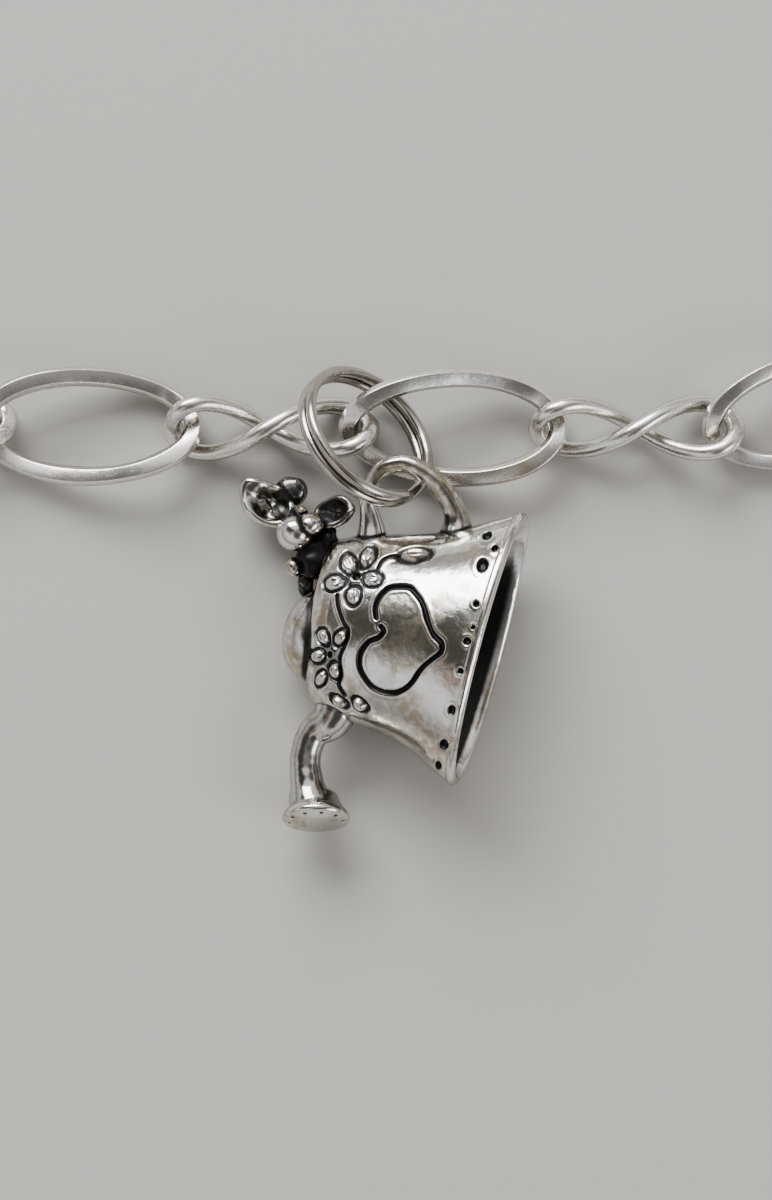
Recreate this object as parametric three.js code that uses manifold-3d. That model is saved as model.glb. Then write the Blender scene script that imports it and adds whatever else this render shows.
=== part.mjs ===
// A silver charm bracelet lying on a flat surface, its clasp closed so that the chain is one loop.
// Long ovals of flat wire alternate with crossed figure-eight links of round wire. The middle oval
// carries a split ring, and the ring carries a cast watering can that lies on its side.
// Millimetres, +Z up. The surface is z = 0, and the front of the loop runs along X at y = 0.
import * as THREE from "three";
import { LoftGeometry } from "three/addons/geometries/LoftGeometry.js";
import { mergeVertices } from "three/addons/utils/BufferGeometryUtils.js";
import Module from "manifold-3d";

const wasm = await Module();
wasm.setup();

// Long oval links, flat wire with bevelled edges
const OVAL_COUNT = 11;
const OVAL_LENGTH = 10.4;
const OVAL_WIDTH = 5.42;
const OVAL_WIRE_ACROSS = 0.9;
const OVAL_WIRE_TALL = 0.74;
const OVAL_WIRE_FLAT = 0.56;
const OVAL_TWIST = 0.58;

// Crossed figure-eight links, round wire
const EIGHT_LENGTH = 9.77;
const EIGHT_WIDTH = 2.89;
const EIGHT_WIRE = 0.77;
const EIGHT_FULLNESS = 0.06;
const EIGHT_CROSS_RISE = 1.3;
const EIGHT_ARM_RISE = 0.8;

// How far the end of one link reaches past the end of the next
const TUCK_FRONT = 1.0;
const TUCK_BEND = 1.2;

// The loop: a straight front and back joined by two round bends
const FRONT_LENGTH = 31;
const CHARM_LINK_X = 3.05;
const CHARM_ROLL = 13;
const CHARM_ROLL_STEP = 3.5;

// Clasp side
const JUMP_OUTSIDE = 5.2;
const JUMP_WIRE = 0.75;
const JUMP_ROLL = 25;
const CLASP_LENGTH = 8.2;
const CLASP_WIDTH = 4.8;
const CLASP_WIRE = 0.95;
const CLASP_TAPER = 0.16;
const CLASP_EYE_OUTSIDE = 3.3;
const CLASP_EYE_WIRE = 0.8;
const CLASP_EYE_BITE = 0.35;
const CLASP_EYE_TILT = 40;
const CLASP_TWIST = 0.75;

// Split ring
const RING_OUTSIDE = 7.0;
const RING_WIRE = 0.48;
const RING_COIL_GAP = 0.06;
const RING_SWEEP = 685;
const RING_END = -12;
const RING_STEP = 35;
const RING_TURN = -52;
const RING_TILT = 50;
const RING_AT = [-0.88, -0.55];
const RING_REST = 0.26;

// Watering can: an oval cone, hollow from its wide open base
const CAN_LENGTH = 7.95;
const CAN_BASE_WIDTH = 12.56;
const CAN_BASE_DEPTH = 7.0;
const CAN_NECK_DEPTH = 3.95;
const CAN_WALL = 0.5;
const CAN_FLOOR = 0.9;
const CAN_AT = [-3.04, -8.69];
const CAN_TURN = -10;
const CAN_EDGE_LEAN = 0.125;
const CAN_NECK_LEAN = -0.035;

// The half-round hood over part of the neck
const HOOD_REACH = 1.5;
const HOOD_INSET = 0.15;
const HOOD_WIDTH = 4.3;
const HOOD_DEPTH = 3.3;
const HOOD_OFFSET = -0.75;

// Handle over the can's edge
const HANDLE_WIRE = 0.82;
const HANDLE_FOOT = 1.25;
const HANDLE_START = 1.68;
const HANDLE_SPAN = 3.79;
const HANDLE_RISE = 3.15;
const HANDLE_LIFT = 0.9;
const HANDLE_FLARE_POWER = 6;

// Spout and rose
const SPOUT_WIRE = 1.36;
const SPOUT_START = 1.35;
const SPOUT_REACH = 4.75;
const ROSE_OUTSIDE = 3.0;
const ROSE_FACE_TILT = 20;
const ROSE_TURN = 14;
const ROSE_HOLE = 0.26;
const ROSE_HOLE_DEPTH = 0.35;
const ROSE_HOLE_COUNT = 6;
const ROSE_HOLE_RING = 0.55;

// Cast ornament on the can
const HEART_GROOVE = 0.3;
const VINE_GROOVE = 0.2;
const PETAL_LENGTH = 0.62;
const PETAL_WIDTH = 0.46;
const PETAL_RISE = 0.16;
const DOT_SIZE = 0.34;

// Sprig of buds at the neck
const BUD_SIZE = 1.8;
const BUD_AT = [-1.64, 3.78, 0.35];
const LEAF_LENGTH = 2.75;
const LEAF_WIDTH = 2.1;

// Mesh fineness
const OVAL_STEPS = 18;
const EIGHT_STEPS = 26;
const RING_STEPS = 36;
const WIRE_SIDES = 6;
const CAN_SIDES = 28;
const CAN_CUT_PAST = 1.06;
const HANDLE_STEPS = 18;
const SPOUT_STEPS = 10;
const ROSE_SIDES = 14;
const HEART_STEPS = 28;
const VINE_STEPS = 9;
const HOOD_SIDES = 14;
const LEAF_SIDES = 12;
const BUD_SIDES = 10;
const SMALL_SIDES = 7;
const HOLE_SIDES = 6;
const DIRECTION_STEP = 1e-3;

const BRIGHT_SILVER = { color: 0xd9d8d4, roughness: 0.2, metalness: 1 };
const WARM_SILVER = { color: 0xcac6bd, roughness: 0.24, metalness: 1 };
const OXIDISED_SILVER = { color: 0xaaa79f, roughness: 0.34, metalness: 1 };

const UP = new THREE.Vector3(0, 0, 1);
const FULL_TURN = 2 * Math.PI;
const rad = THREE.MathUtils.degToRad;
const lerp = THREE.MathUtils.lerp;

// Sections and sweeps

const ROUND_WIRE = Array.from({ length: WIRE_SIDES }, (_, i) => {
  const angle = Math.PI / 2 + (i * FULL_TURN) / WIRE_SIDES;
  return [Math.cos(angle), Math.sin(angle)];
});

const FLAT_WIRE = [
  [-1, 0],
  [-OVAL_WIRE_FLAT / OVAL_WIRE_ACROSS, -1],
  [OVAL_WIRE_FLAT / OVAL_WIRE_ACROSS, -1],
  [1, 0],
  [OVAL_WIRE_FLAT / OVAL_WIRE_ACROSS, 1],
  [-OVAL_WIRE_FLAT / OVAL_WIRE_ACROSS, 1],
];

// One section of a swept wire, square to its direction.
function wireSection(centre, direction, outline, halfAcross, halfTall) {
  const across = new THREE.Vector3().crossVectors(UP, direction).normalize();
  const tall = new THREE.Vector3().crossVectors(direction, across).normalize();
  return outline.map(([a, t]) =>
    centre
      .clone()
      .addScaledVector(across, a * halfAcross)
      .addScaledVector(tall, t * halfTall),
  );
}

// A wire that closes on itself, along pointAt(0..1).
function closedWire(pointAt, steps, outline, across, tall) {
  const sections = [];
  for (let i = 0; i <= steps; i++) {
    const here = (i % steps) / steps;
    const direction = pointAt(here + DIRECTION_STEP)
      .sub(pointAt(here - DIRECTION_STEP))
      .normalize();
    sections.push(wireSection(pointAt(here), direction, outline, across / 2, tall / 2));
  }
  return new LoftGeometry(sections);
}

// A wire with two ends, along pointAt(0..1), with its thickness from sizeAt(0..1).
function openWire(pointAt, steps, sizeAt) {
  const sections = [];
  for (let i = 0; i <= steps; i++) {
    const here = i / steps;
    const direction = pointAt(Math.min(here + DIRECTION_STEP, 1))
      .sub(pointAt(Math.max(here - DIRECTION_STEP, 0)))
      .normalize();
    const half = sizeAt(here) / 2;
    sections.push(wireSection(pointAt(here), direction, ROUND_WIRE, half, half));
  }
  return new LoftGeometry(sections, { capStart: true, capEnd: true });
}

// A smooth curve through points, as a function of 0..1.
function curveThrough(points) {
  const curve = new THREE.CatmullRomCurve3(points, false, "centripetal");
  return (share) => curve.getPoint(share);
}

// Solids for joining and cutting

function solid(geometry) {
  const bare = new THREE.BufferGeometry().setAttribute("position", geometry.getAttribute("position"));
  bare.setIndex(geometry.index);
  const merged = mergeVertices(bare, 1e-4);
  const corners = merged.index.array;
  const kept = [];
  for (let i = 0; i < corners.length; i += 3) {
    const [a, b, c] = corners.slice(i, i + 3);
    if (a !== b && b !== c && c !== a) kept.push(a, b, c);
  }
  const vertProperties = new Float32Array(merged.attributes.position.array);
  const triVerts = new Uint32Array(kept);
  const made = new wasm.Manifold(new wasm.Mesh({ numProp: 3, vertProperties, triVerts }));
  if (made.volume() > 0) return made;
  for (let i = 0; i < triVerts.length; i += 3) {
    [triVerts[i + 1], triVerts[i + 2]] = [triVerts[i + 2], triVerts[i + 1]];
  }
  return new wasm.Manifold(new wasm.Mesh({ numProp: 3, vertProperties, triVerts }));
}

function geometryOf(made) {
  const mesh = made.getMesh();
  return new THREE.BufferGeometry()
    .setAttribute("position", new THREE.BufferAttribute(mesh.vertProperties, 3))
    .setIndex(new THREE.BufferAttribute(mesh.triVerts, 1));
}

// A mesh with its own copy of a finish.
function piece(name, made, finish) {
  const geometry = geometryOf(made);
  geometry.computeVertexNormals();
  const mesh = new THREE.Mesh(geometry, new THREE.MeshStandardMaterial(finish));
  mesh.name = name;
  return mesh;
}

// An ellipsoid: its three radii, its centre and its turn about Z.
function pebble(radii, centre, turn, sides) {
  const place = new THREE.Matrix4().compose(
    centre,
    new THREE.Quaternion().setFromAxisAngle(UP, rad(turn)),
    new THREE.Vector3(...radii),
  );
  return solid(new THREE.SphereGeometry(1, sides, Math.round(sides * 0.7)).applyMatrix4(place));
}

// The chain's links

const OVAL_HALF = (OVAL_LENGTH - OVAL_WIRE_ACROSS) / 2;
const EIGHT_HALF = (EIGHT_LENGTH - EIGHT_WIRE) / 2;

function ovalLink() {
  const halfWidth = (OVAL_WIDTH - OVAL_WIRE_ACROSS) / 2;
  const pointAt = (share) => {
    const angle = share * FULL_TURN;
    return new THREE.Vector3(
      OVAL_HALF * Math.cos(angle),
      halfWidth * Math.sin(angle),
      -OVAL_TWIST * Math.sin(2 * angle),
    );
  };
  return solid(closedWire(pointAt, OVAL_STEPS, FLAT_WIRE, OVAL_WIRE_ACROSS, OVAL_WIRE_TALL));
}

function eightLink() {
  const halfWidth = (EIGHT_WIDTH - EIGHT_WIRE) / 2;
  const crossShare = EIGHT_CROSS_RISE / 2 - EIGHT_ARM_RISE;
  const pointAt = (share) => {
    const angle = share * FULL_TURN;
    return new THREE.Vector3(
      (EIGHT_HALF * (Math.cos(angle) + EIGHT_FULLNESS * Math.cos(3 * angle))) / (1 + EIGHT_FULLNESS),
      halfWidth * Math.sin(2 * angle),
      crossShare * Math.sin(angle) - EIGHT_ARM_RISE * Math.sin(3 * angle),
    );
  };
  return solid(closedWire(pointAt, EIGHT_STEPS, ROUND_WIRE, EIGHT_WIRE, EIGHT_WIRE));
}

function jumpRing() {
  const radius = (JUMP_OUTSIDE - JUMP_WIRE) / 2;
  const pointAt = (share) => {
    const angle = share * FULL_TURN;
    return new THREE.Vector3(radius * Math.cos(angle), radius * Math.sin(angle), 0);
  };
  return solid(closedWire(pointAt, OVAL_STEPS, ROUND_WIRE, JUMP_WIRE, JUMP_WIRE));
}

// The clasp: a plain closed loop, narrower toward the tilted eye that is soldered to it.
function clasp() {
  const half = (CLASP_LENGTH - CLASP_WIRE) / 2;
  const halfWidth = (CLASP_WIDTH - CLASP_WIRE) / 2;
  const eyeRadius = (CLASP_EYE_OUTSIDE - CLASP_EYE_WIRE) / 2;
  const middle = eyeRadius + CLASP_EYE_BITE / 2;
  const body = (share) => {
    const angle = share * FULL_TURN;
    const width = halfWidth * (1 + CLASP_TAPER * Math.cos(angle));
    return new THREE.Vector3(
      middle + half * Math.cos(angle),
      width * Math.sin(angle),
      -CLASP_TWIST * Math.sin(2 * angle),
    );
  };
  const eye = (share) => {
    const angle = share * FULL_TURN;
    return new THREE.Vector3(
      middle - half - CLASP_EYE_BITE + eyeRadius * (Math.cos(angle) - 1),
      eyeRadius * Math.sin(angle) * Math.cos(rad(CLASP_EYE_TILT)),
      -eyeRadius * Math.sin(angle) * Math.sin(rad(CLASP_EYE_TILT)),
    );
  };
  const loop = solid(closedWire(body, EIGHT_STEPS, ROUND_WIRE, CLASP_WIRE, CLASP_WIRE));
  const ring = solid(closedWire(eye, OVAL_STEPS, ROUND_WIRE, CLASP_EYE_WIRE, CLASP_EYE_WIRE));
  return loop.add(ring);
}

// A split ring: one wire wound almost twice, stepping from the upper coil to the lower one.
function splitRing() {
  const radius = (RING_OUTSIDE - RING_WIRE) / 2;
  const coilHalf = (RING_WIRE + RING_COIL_GAP) / 2;
  const pointAt = (share) => {
    const turned = share * RING_SWEEP;
    const middle = RING_SWEEP / 2;
    const step = THREE.MathUtils.smoothstep(turned, middle - RING_STEP, middle + RING_STEP);
    const angle = rad(RING_END - turned);
    return new THREE.Vector3(
      radius * Math.cos(angle),
      radius * Math.sin(angle),
      lerp(coilHalf, -coilHalf, step),
    );
  };
  return solid(openWire(pointAt, RING_STEPS, () => RING_WIRE));
}

// The watering can, along x from its neck to its base, y toward the handle

// Half width along the can, as shares of the base's half width.
const CAN_FLARE = [
  { along: 0, width: 0.494 },
  { along: 0.022, width: 0.551 },
  { along: 0.108, width: 0.616 },
  { along: 0.26, width: 0.667 },
  { along: 0.415, width: 0.707 },
  { along: 0.57, width: 0.756 },
  { along: 0.717, width: 0.823 },
  { along: 0.857, width: 0.916 },
  { along: 1, width: 1 },
];

function halfWidthAt(along) {
  const last = CAN_FLARE.length - 1;
  const after = Math.min(
    Math.max(
      CAN_FLARE.findIndex((row) => row.along >= along),
      1,
    ),
    last,
  );
  const from = CAN_FLARE[after - 1];
  const to = CAN_FLARE[after];
  const share = (along - from.along) / (to.along - from.along);
  return (CAN_BASE_WIDTH / 2) * lerp(from.width, to.width, along > 1 ? 1 : share);
}

function halfDepthAt(along) {
  const rounded = CAN_FLARE[0].width / CAN_FLARE[2].width;
  const ease = along < CAN_FLARE[2].along ? lerp(rounded, 1, Math.sqrt(along / CAN_FLARE[2].along)) : 1;
  return (lerp(CAN_NECK_DEPTH, CAN_BASE_DEPTH, along) / 2) * ease;
}

// A point on the can's wall, inset by a thickness. angle 0 is the handle's edge, 90 the upper side.
function wallPoint(along, angle, inset = 0) {
  const y = (halfWidthAt(along) - inset) * Math.cos(angle);
  const z = (halfDepthAt(along) - inset) * Math.sin(angle);
  return new THREE.Vector3(along * CAN_LENGTH + (CAN_NECK_LEAN + CAN_EDGE_LEAN * along) * y, y, z);
}

// A point on the can's upper side. across is a share of the half width, positive toward the handle.
function upperSide(along, across, lift = 0) {
  return wallPoint(along, Math.acos(across), -lift);
}

// The can's flat facets touch its oval from outside, and the lowest one is level with the surface.
function canLoft(stations, inset) {
  const step = FULL_TURN / CAN_SIDES;
  const outward = 1 / Math.cos(step / 2);
  const sections = stations.map((along) =>
    Array.from({ length: CAN_SIDES }, (_, i) => {
      const point = wallPoint(along, (i + 0.5) * step, inset);
      const middle = along * CAN_LENGTH;
      return new THREE.Vector3(middle + (point.x - middle) * outward, point.y * outward, point.z * outward);
    }),
  );
  return solid(new LoftGeometry(sections, { capStart: true, capEnd: true }));
}

function canBody() {
  const outside = CAN_FLARE.map((row) => row.along);
  const floorAt = CAN_FLOOR / CAN_LENGTH;
  const inside = [floorAt, ...outside.filter((along) => along > floorAt && along < 1), CAN_CUT_PAST];
  return { wall: canLoft(outside, 0), hollow: canLoft(inside, CAN_WALL) };
}

function hood() {
  const centre = new THREE.Vector3(HOOD_INSET, HOOD_OFFSET, 0);
  return pebble([HOOD_REACH + HOOD_INSET, HOOD_WIDTH / 2, HOOD_DEPTH / 2], centre, 0, HOOD_SIDES);
}

// The handle's path: shares of its span along the can and of its rise above the can's edge.
const HANDLE_PATH = [
  { along: 0.04, rise: -0.16 },
  { along: 0, rise: 0.1 },
  { along: -0.08, rise: 0.61 },
  { along: 0.04, rise: 0.92 },
  { along: 0.27, rise: 1 },
  { along: 0.57, rise: 0.84 },
  { along: 0.84, rise: 0.5 },
  { along: 1, rise: 0.08 },
  { along: 1.02, rise: -0.2 },
];

function handle() {
  const points = HANDLE_PATH.map(({ along, rise }) => {
    const x = HANDLE_START + HANDLE_SPAN * along;
    const edge = halfWidthAt(x / CAN_LENGTH);
    return new THREE.Vector3(x, edge + HANDLE_RISE * rise, HANDLE_LIFT * Math.max(rise, 0));
  });
  const flare = (share) => Math.pow(Math.abs(2 * share - 1), HANDLE_FLARE_POWER);
  const sizeAt = (share) => lerp(HANDLE_WIRE, HANDLE_FOOT, flare(share));
  return solid(openWire(curveThrough(points), HANDLE_STEPS, sizeAt));
}

// The spout's path: x offsets and reach as shares of its reach, and its thickness as a share.
const SPOUT_PATH = [
  { across: 0.06, reach: -0.1, size: 1.45 },
  { across: 0, reach: 0.06, size: 1.35 },
  { across: -0.137, reach: 0.215, size: 1.08 },
  { across: -0.177, reach: 0.434, size: 1 },
  { across: -0.124, reach: 0.665, size: 1.12 },
  { across: -0.06, reach: 0.83, size: 1.55 },
  { across: -0.015, reach: 0.93, size: 2.1 },
];

function spout() {
  const edge = halfWidthAt(SPOUT_START / CAN_LENGTH);
  const place = ({ across, reach }) =>
    new THREE.Vector3(SPOUT_START + SPOUT_REACH * across, -edge - SPOUT_REACH * reach, 0);
  const path = curveThrough(SPOUT_PATH.map(place));
  const sizes = curveThrough(SPOUT_PATH.map(({ size }) => new THREE.Vector3(size, 0, 0)));
  const tube = solid(openWire(path, SPOUT_STEPS, (share) => SPOUT_WIRE * sizes(share).x));
  return tube.add(rose(place({ across: 0.03, reach: 1 })));
}

// The rose: a shallow flared head with small holes in its face, turned from a profile that is
// given as shares of its radius. Its face is at the profile's top.
const ROSE_FACE = 0.2;
const ROSE_PROFILE = [
  { out: 0, up: -0.75 },
  { out: 0.62, up: -0.75 },
  { out: 0.98, up: -0.3 },
  { out: 1, up: 0 },
  { out: 0.72, up: 0.14 },
  { out: 0, up: ROSE_FACE },
];

function rose(centre) {
  const radius = ROSE_OUTSIDE / 2;
  const profile = ROSE_PROFILE.map(({ out, up }) => new THREE.Vector2(out * radius, up * radius));
  let head = solid(new THREE.LatheGeometry(profile, ROSE_SIDES));
  for (let i = 0; i < ROSE_HOLE_COUNT; i++) {
    const angle = (i * FULL_TURN) / ROSE_HOLE_COUNT;
    const out = ROSE_HOLE_RING * radius;
    const hole = new THREE.CylinderGeometry(ROSE_HOLE / 2, ROSE_HOLE / 2, 2 * ROSE_HOLE_DEPTH, HOLE_SIDES);
    hole.translate(out * Math.cos(angle), ROSE_FACE * radius, out * Math.sin(angle));
    head = head.subtract(solid(hole));
  }
  const facing = new THREE.Matrix4().makeRotationFromEuler(
    new THREE.Euler(rad(180 - ROSE_FACE_TILT), 0, rad(ROSE_TURN), "ZYX"),
  );
  return solid(geometryOf(head).applyMatrix4(facing.setPosition(centre)));
}

// Cast ornament: places are shares along the can and across its half width

const HEART_LINE = [
  { along: 0.376, across: 0.193 },
  { along: 0.39, across: 0.322 },
  { along: 0.43, across: 0.412 },
  { along: 0.51, across: 0.442 },
  { along: 0.592, across: 0.371 },
  { along: 0.687, across: 0.14 },
  { along: 0.75, across: 0.01 },
  { along: 0.812, across: -0.08 },
  { along: 0.773, across: -0.172 },
  { along: 0.714, across: -0.284 },
  { along: 0.625, across: -0.508 },
  { along: 0.541, across: -0.593 },
  { along: 0.462, across: -0.585 },
  { along: 0.392, across: -0.51 },
  { along: 0.334, across: -0.3 },
  { along: 0.371, across: -0.144 },
  { along: 0.426, across: -0.07 },
  { along: 0.421, across: 0.017 },
];

const VINE_LINE = [
  { along: 0.146, across: 0.297 },
  { along: 0.167, across: 0.141 },
  { along: 0.245, across: -0.08 },
  { along: 0.227, across: -0.353 },
  { along: 0.236, across: -0.6 },
  { along: 0.269, across: -0.731 },
];

// Raised petals and leaves: place, size as a share of a petal, and turn in degrees.
const RAISED = [
  { along: 0.164, across: 0.659, size: 1, turn: 120 },
  { along: 0.259, across: 0.737, size: 1, turn: 60 },
  { along: 0.32, across: 0.502, size: 0.9, turn: -10 },
  { along: 0.234, across: 0.302, size: 1, turn: -80 },
  { along: 0.114, across: 0.445, size: 0.95, turn: 190 },
  { along: 0.511, across: 0.754, size: 1.9, turn: 10 },
  { along: 0.098, across: -0.211, size: 0.7, turn: 140 },
  { along: 0.207, across: -0.174, size: 0.7, turn: 50 },
  { along: 0.2, across: -0.523, size: 0.7, turn: -70 },
  { along: 0.1, across: -0.6, size: 0.7, turn: 230 },
];

const DOTS = [
  { along: 0.867, across: 0.829, size: 1 },
  { along: 0.928, across: 0.709, size: 1 },
  { along: 0.899, across: 0.588, size: 1.3 },
  { along: 0.93, across: 0.298, size: 0.8 },
  { along: 0.94, across: 0.007, size: 0.8 },
  { along: 0.94, across: -0.204, size: 0.8 },
  { along: 0.935, across: -0.492, size: 0.9 },
  { along: 0.92, across: -0.72, size: 0.9 },
  { along: 0.9, across: -0.88, size: 0.8 },
];

function groove(line, size, steps) {
  const path = curveThrough(line.map(({ along, across }) => upperSide(along, across)));
  return solid(openWire(path, steps, () => size));
}

function raised({ along, across, size, turn }) {
  const radii = [(PETAL_LENGTH / 2) * size, (PETAL_WIDTH / 2) * size, PETAL_RISE * 2];
  return pebble(radii, upperSide(along, across, -PETAL_RISE), turn, SMALL_SIDES);
}

function dot({ along, across, size }) {
  const radius = (DOT_SIZE / 2) * size;
  return pebble([radius, radius, radius], upperSide(along, across), 0, HOLE_SIDES);
}

// The sprig: a cupped leaf is a pebble hollowed from its upper side. It is given by its size as a
// share of the main leaf, its turn, and its place from the main bud in main leaf lengths.
const LEAVES = [
  { size: 1, turn: -32, x: -0.62, y: 0.36 },
  { size: 0.72, turn: 18, x: 0.54, y: 0.41 },
];
const LEAF_BELLY = 0.36;
const SCOOP_LIFT = 0.3;
const SCOOP_LENGTH = 0.36;
const SCOOP_WIDTH = 0.34;

function cuppedLeaf(size, turn, centre) {
  const length = LEAF_LENGTH * size;
  const width = LEAF_WIDTH * size;
  const outer = pebble([length / 2, width / 2, width * LEAF_BELLY], centre, turn, LEAF_SIDES);
  const above = centre.clone().add(new THREE.Vector3(0, 0, width * SCOOP_LIFT));
  const scoop = [length * SCOOP_LENGTH, width * SCOOP_WIDTH, width * LEAF_BELLY];
  return outer.subtract(pebble(scoop, above, turn, BUD_SIDES));
}

// Buds and stems, as shares of the main bud's size, from the main bud's centre.
const BUDS = [
  { x: 0, y: 0, z: 0, size: 1 },
  { x: 0.36, y: 0.19, z: 0.1, size: 0.62 },
  { x: 0.08, y: -0.95, z: -0.15, size: 0.46 },
  { x: 0.1, y: 0.56, z: -0.1, size: 0.3 },
  { x: -0.34, y: 1.0, z: -0.3, size: 0.72 },
  { x: 0.5, y: -0.62, z: -0.3, size: 0.95 },
  { x: 0.72, y: -0.25, z: -0.3, size: 0.7 },
  { x: 0.42, y: -1.2, z: -0.25, size: 0.6 },
];

function sprig() {
  const bud = new THREE.Vector3(...BUD_AT);
  const buds = BUDS.map(({ x, y, z, size }) => {
    const centre = bud.clone().add(new THREE.Vector3(x, y, z).multiplyScalar(BUD_SIZE));
    const radius = (BUD_SIZE / 2) * size;
    return pebble([radius, radius, radius], centre, 0, size > 0.5 ? BUD_SIDES : SMALL_SIDES);
  });
  const leaves = LEAVES.map(({ size, turn, x, y }) => {
    const centre = new THREE.Vector3(bud.x + LEAF_LENGTH * x, bud.y + LEAF_LENGTH * y, 0);
    return cuppedLeaf(size, turn, centre);
  });
  return [...buds, ...leaves].reduce((all, next) => all.add(next));
}

function wateringCan() {
  const { wall, hollow } = canBody();
  let can = wall.add(hood());
  for (const row of RAISED) can = can.add(raised(row));
  can = can.subtract(groove(HEART_LINE, HEART_GROOVE, HEART_STEPS));
  can = can.subtract(groove(VINE_LINE, VINE_GROOVE, VINE_STEPS));
  for (const row of DOTS) can = can.subtract(dot(row));
  return can.add(handle()).add(spout()).add(sprig()).subtract(hollow);
}

// The loop

// The way round: a straight front, a bend, a straight back and a bend, from the front's middle.
function routePoint(distance, bendRadius) {
  const half = FRONT_LENGTH / 2;
  const bend = Math.PI * bendRadius;
  const total = 4 * half + 2 * bend;
  const along = ((distance % total) + total) % total;
  if (along < half) return new THREE.Vector2(along, 0);
  if (along < half + bend) {
    const angle = (along - half) / bendRadius - Math.PI / 2;
    return new THREE.Vector2(
      half + bendRadius * Math.cos(angle),
      bendRadius + bendRadius * Math.sin(angle),
    );
  }
  if (along < 3 * half + bend) return new THREE.Vector2(2 * half + bend - along, 2 * bendRadius);
  if (along < 3 * half + 2 * bend) {
    const angle = (along - 3 * half - bend) / bendRadius + Math.PI / 2;
    return new THREE.Vector2(
      bendRadius * Math.cos(angle) - half,
      bendRadius + bendRadius * Math.sin(angle),
    );
  }
  return new THREE.Vector2(along - total, 0);
}

// The distance along the route of the next joint, a straight reach away from the last.
function nextJoint(from, reach, bendRadius) {
  const start = routePoint(from, bendRadius);
  let low = from + reach * 0.99;
  let high = from + reach * 1.5;
  for (let i = 0; i < 50; i++) {
    const middle = (low + high) / 2;
    if (routePoint(middle, bendRadius).distanceTo(start) < reach) low = middle;
    else high = middle;
  }
  return (low + high) / 2;
}

// Every link in order round the loop, from the oval that carries the charm.
function linksInOrder() {
  const order = [];
  const oval = solidAndReach(ovalLink(), 2 * OVAL_HALF);
  const eight = solidAndReach(eightLink(), 2 * EIGHT_HALF);
  const ring = solidAndReach(jumpRing(), JUMP_OUTSIDE - JUMP_WIRE);
  const hook = solidAndReach(clasp(), claspReach());
  const middle = Math.ceil(OVAL_COUNT / 2);
  for (let step = 0; step < OVAL_COUNT; step++) {
    const number = ((middle - 1 + step) % OVAL_COUNT) + 1;
    order.push({ ...oval, name: `oval_link_${number}`, finish: BRIGHT_SILVER });
    if (number < OVAL_COUNT) {
      order.push({ ...eight, name: `figure_eight_link_${number}`, finish: BRIGHT_SILVER });
    } else {
      order.push({ ...ring, name: "jump_ring", finish: BRIGHT_SILVER, roll: JUMP_ROLL });
      order.push({ ...hook, name: "clasp", finish: BRIGHT_SILVER });
    }
  }
  return order;
}

function solidAndReach(made, reach) {
  return { made, reach, roll: 0 };
}

function claspReach() {
  return CLASP_LENGTH - CLASP_WIRE + CLASP_EYE_OUTSIDE - CLASP_EYE_WIRE + CLASP_EYE_BITE;
}

// The split ring lifts the far side of the link that it hangs on, so that link lies rolled, and the
// links after it lie rolled a step less each.
function charmRoll(step) {
  return Math.max(CHARM_ROLL - CHARM_ROLL_STEP * step, 0);
}

// The joints between the links, walked from the charm's link, and by how much the walk overshoots.
function walk(order, bendRadius) {
  const total = 2 * FRONT_LENGTH + FULL_TURN * bendRadius;
  const first = CHARM_LINK_X - (order[0].reach - TUCK_FRONT) / 2;
  const joints = [first];
  for (const { reach } of order) {
    const from = joints.at(-1);
    const middle = from + reach / 2;
    const fromFront = Math.abs(middle - total * Math.round(middle / total));
    const tuck = fromFront < FRONT_LENGTH / 2 ? TUCK_FRONT : TUCK_BEND;
    joints.push(nextJoint(from, reach - tuck, bendRadius));
  }
  return { joints, miss: joints.at(-1) - first - total };
}

// The bend radius with which the last link meets the first.
function closingRadius(order) {
  let low = 5;
  let high = 60;
  for (let i = 0; i < 50; i++) {
    const middle = (low + high) / 2;
    if (walk(order, middle).miss > 0) low = middle;
    else high = middle;
  }
  return (low + high) / 2;
}

// The height of a link's middle. Links lie level with their neighbours, none below the surface.
function lyingHeight(order, i) {
  const own = depthBelow(order[0].made, charmRoll(i));
  const eights = depthBelow(order[1].made, charmRoll(i));
  return Math.max(own, eights, depthBelow(order[i].made, order[i].roll));
}

// How far a solid reaches below its own middle once it is rolled about its length.
function depthBelow(made, roll) {
  return -made.rotate([roll, 0, 0]).boundingBox().min[2];
}

function chain() {
  const group = new THREE.Group();
  const order = linksInOrder();
  const bendRadius = closingRadius(order);
  const { joints } = walk(order, bendRadius);
  order.forEach(({ made, name, finish, roll }, i) => {
    const from = routePoint(joints[i], bendRadius);
    const to = routePoint(joints[i + 1], bendRadius);
    const link = piece(name, made, finish);
    link.rotation.set(rad(roll + charmRoll(i)), 0, Math.atan2(to.y - from.y, to.x - from.x), "ZYX");
    link.position.set((from.x + to.x) / 2, (from.y + to.y) / 2, lyingHeight(order, i));
    group.add(link);
  });
  return group;
}

// The split ring leans on the low side of its link, clear of the surface.
function placedSplitRing() {
  const radius = (RING_OUTSIDE - RING_WIRE) / 2;
  const ring = piece("split_ring", splitRing(), WARM_SILVER);
  ring.rotation.set(rad(-RING_TILT), 0, rad(RING_TURN), "ZYX");
  const coilHalf = (RING_WIRE + RING_COIL_GAP) / 2;
  const reach = radius * Math.sin(rad(RING_TILT)) + coilHalf * Math.cos(rad(RING_TILT)) + RING_WIRE / 2;
  ring.position.set(...RING_AT, reach + RING_REST);
  return ring;
}

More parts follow.
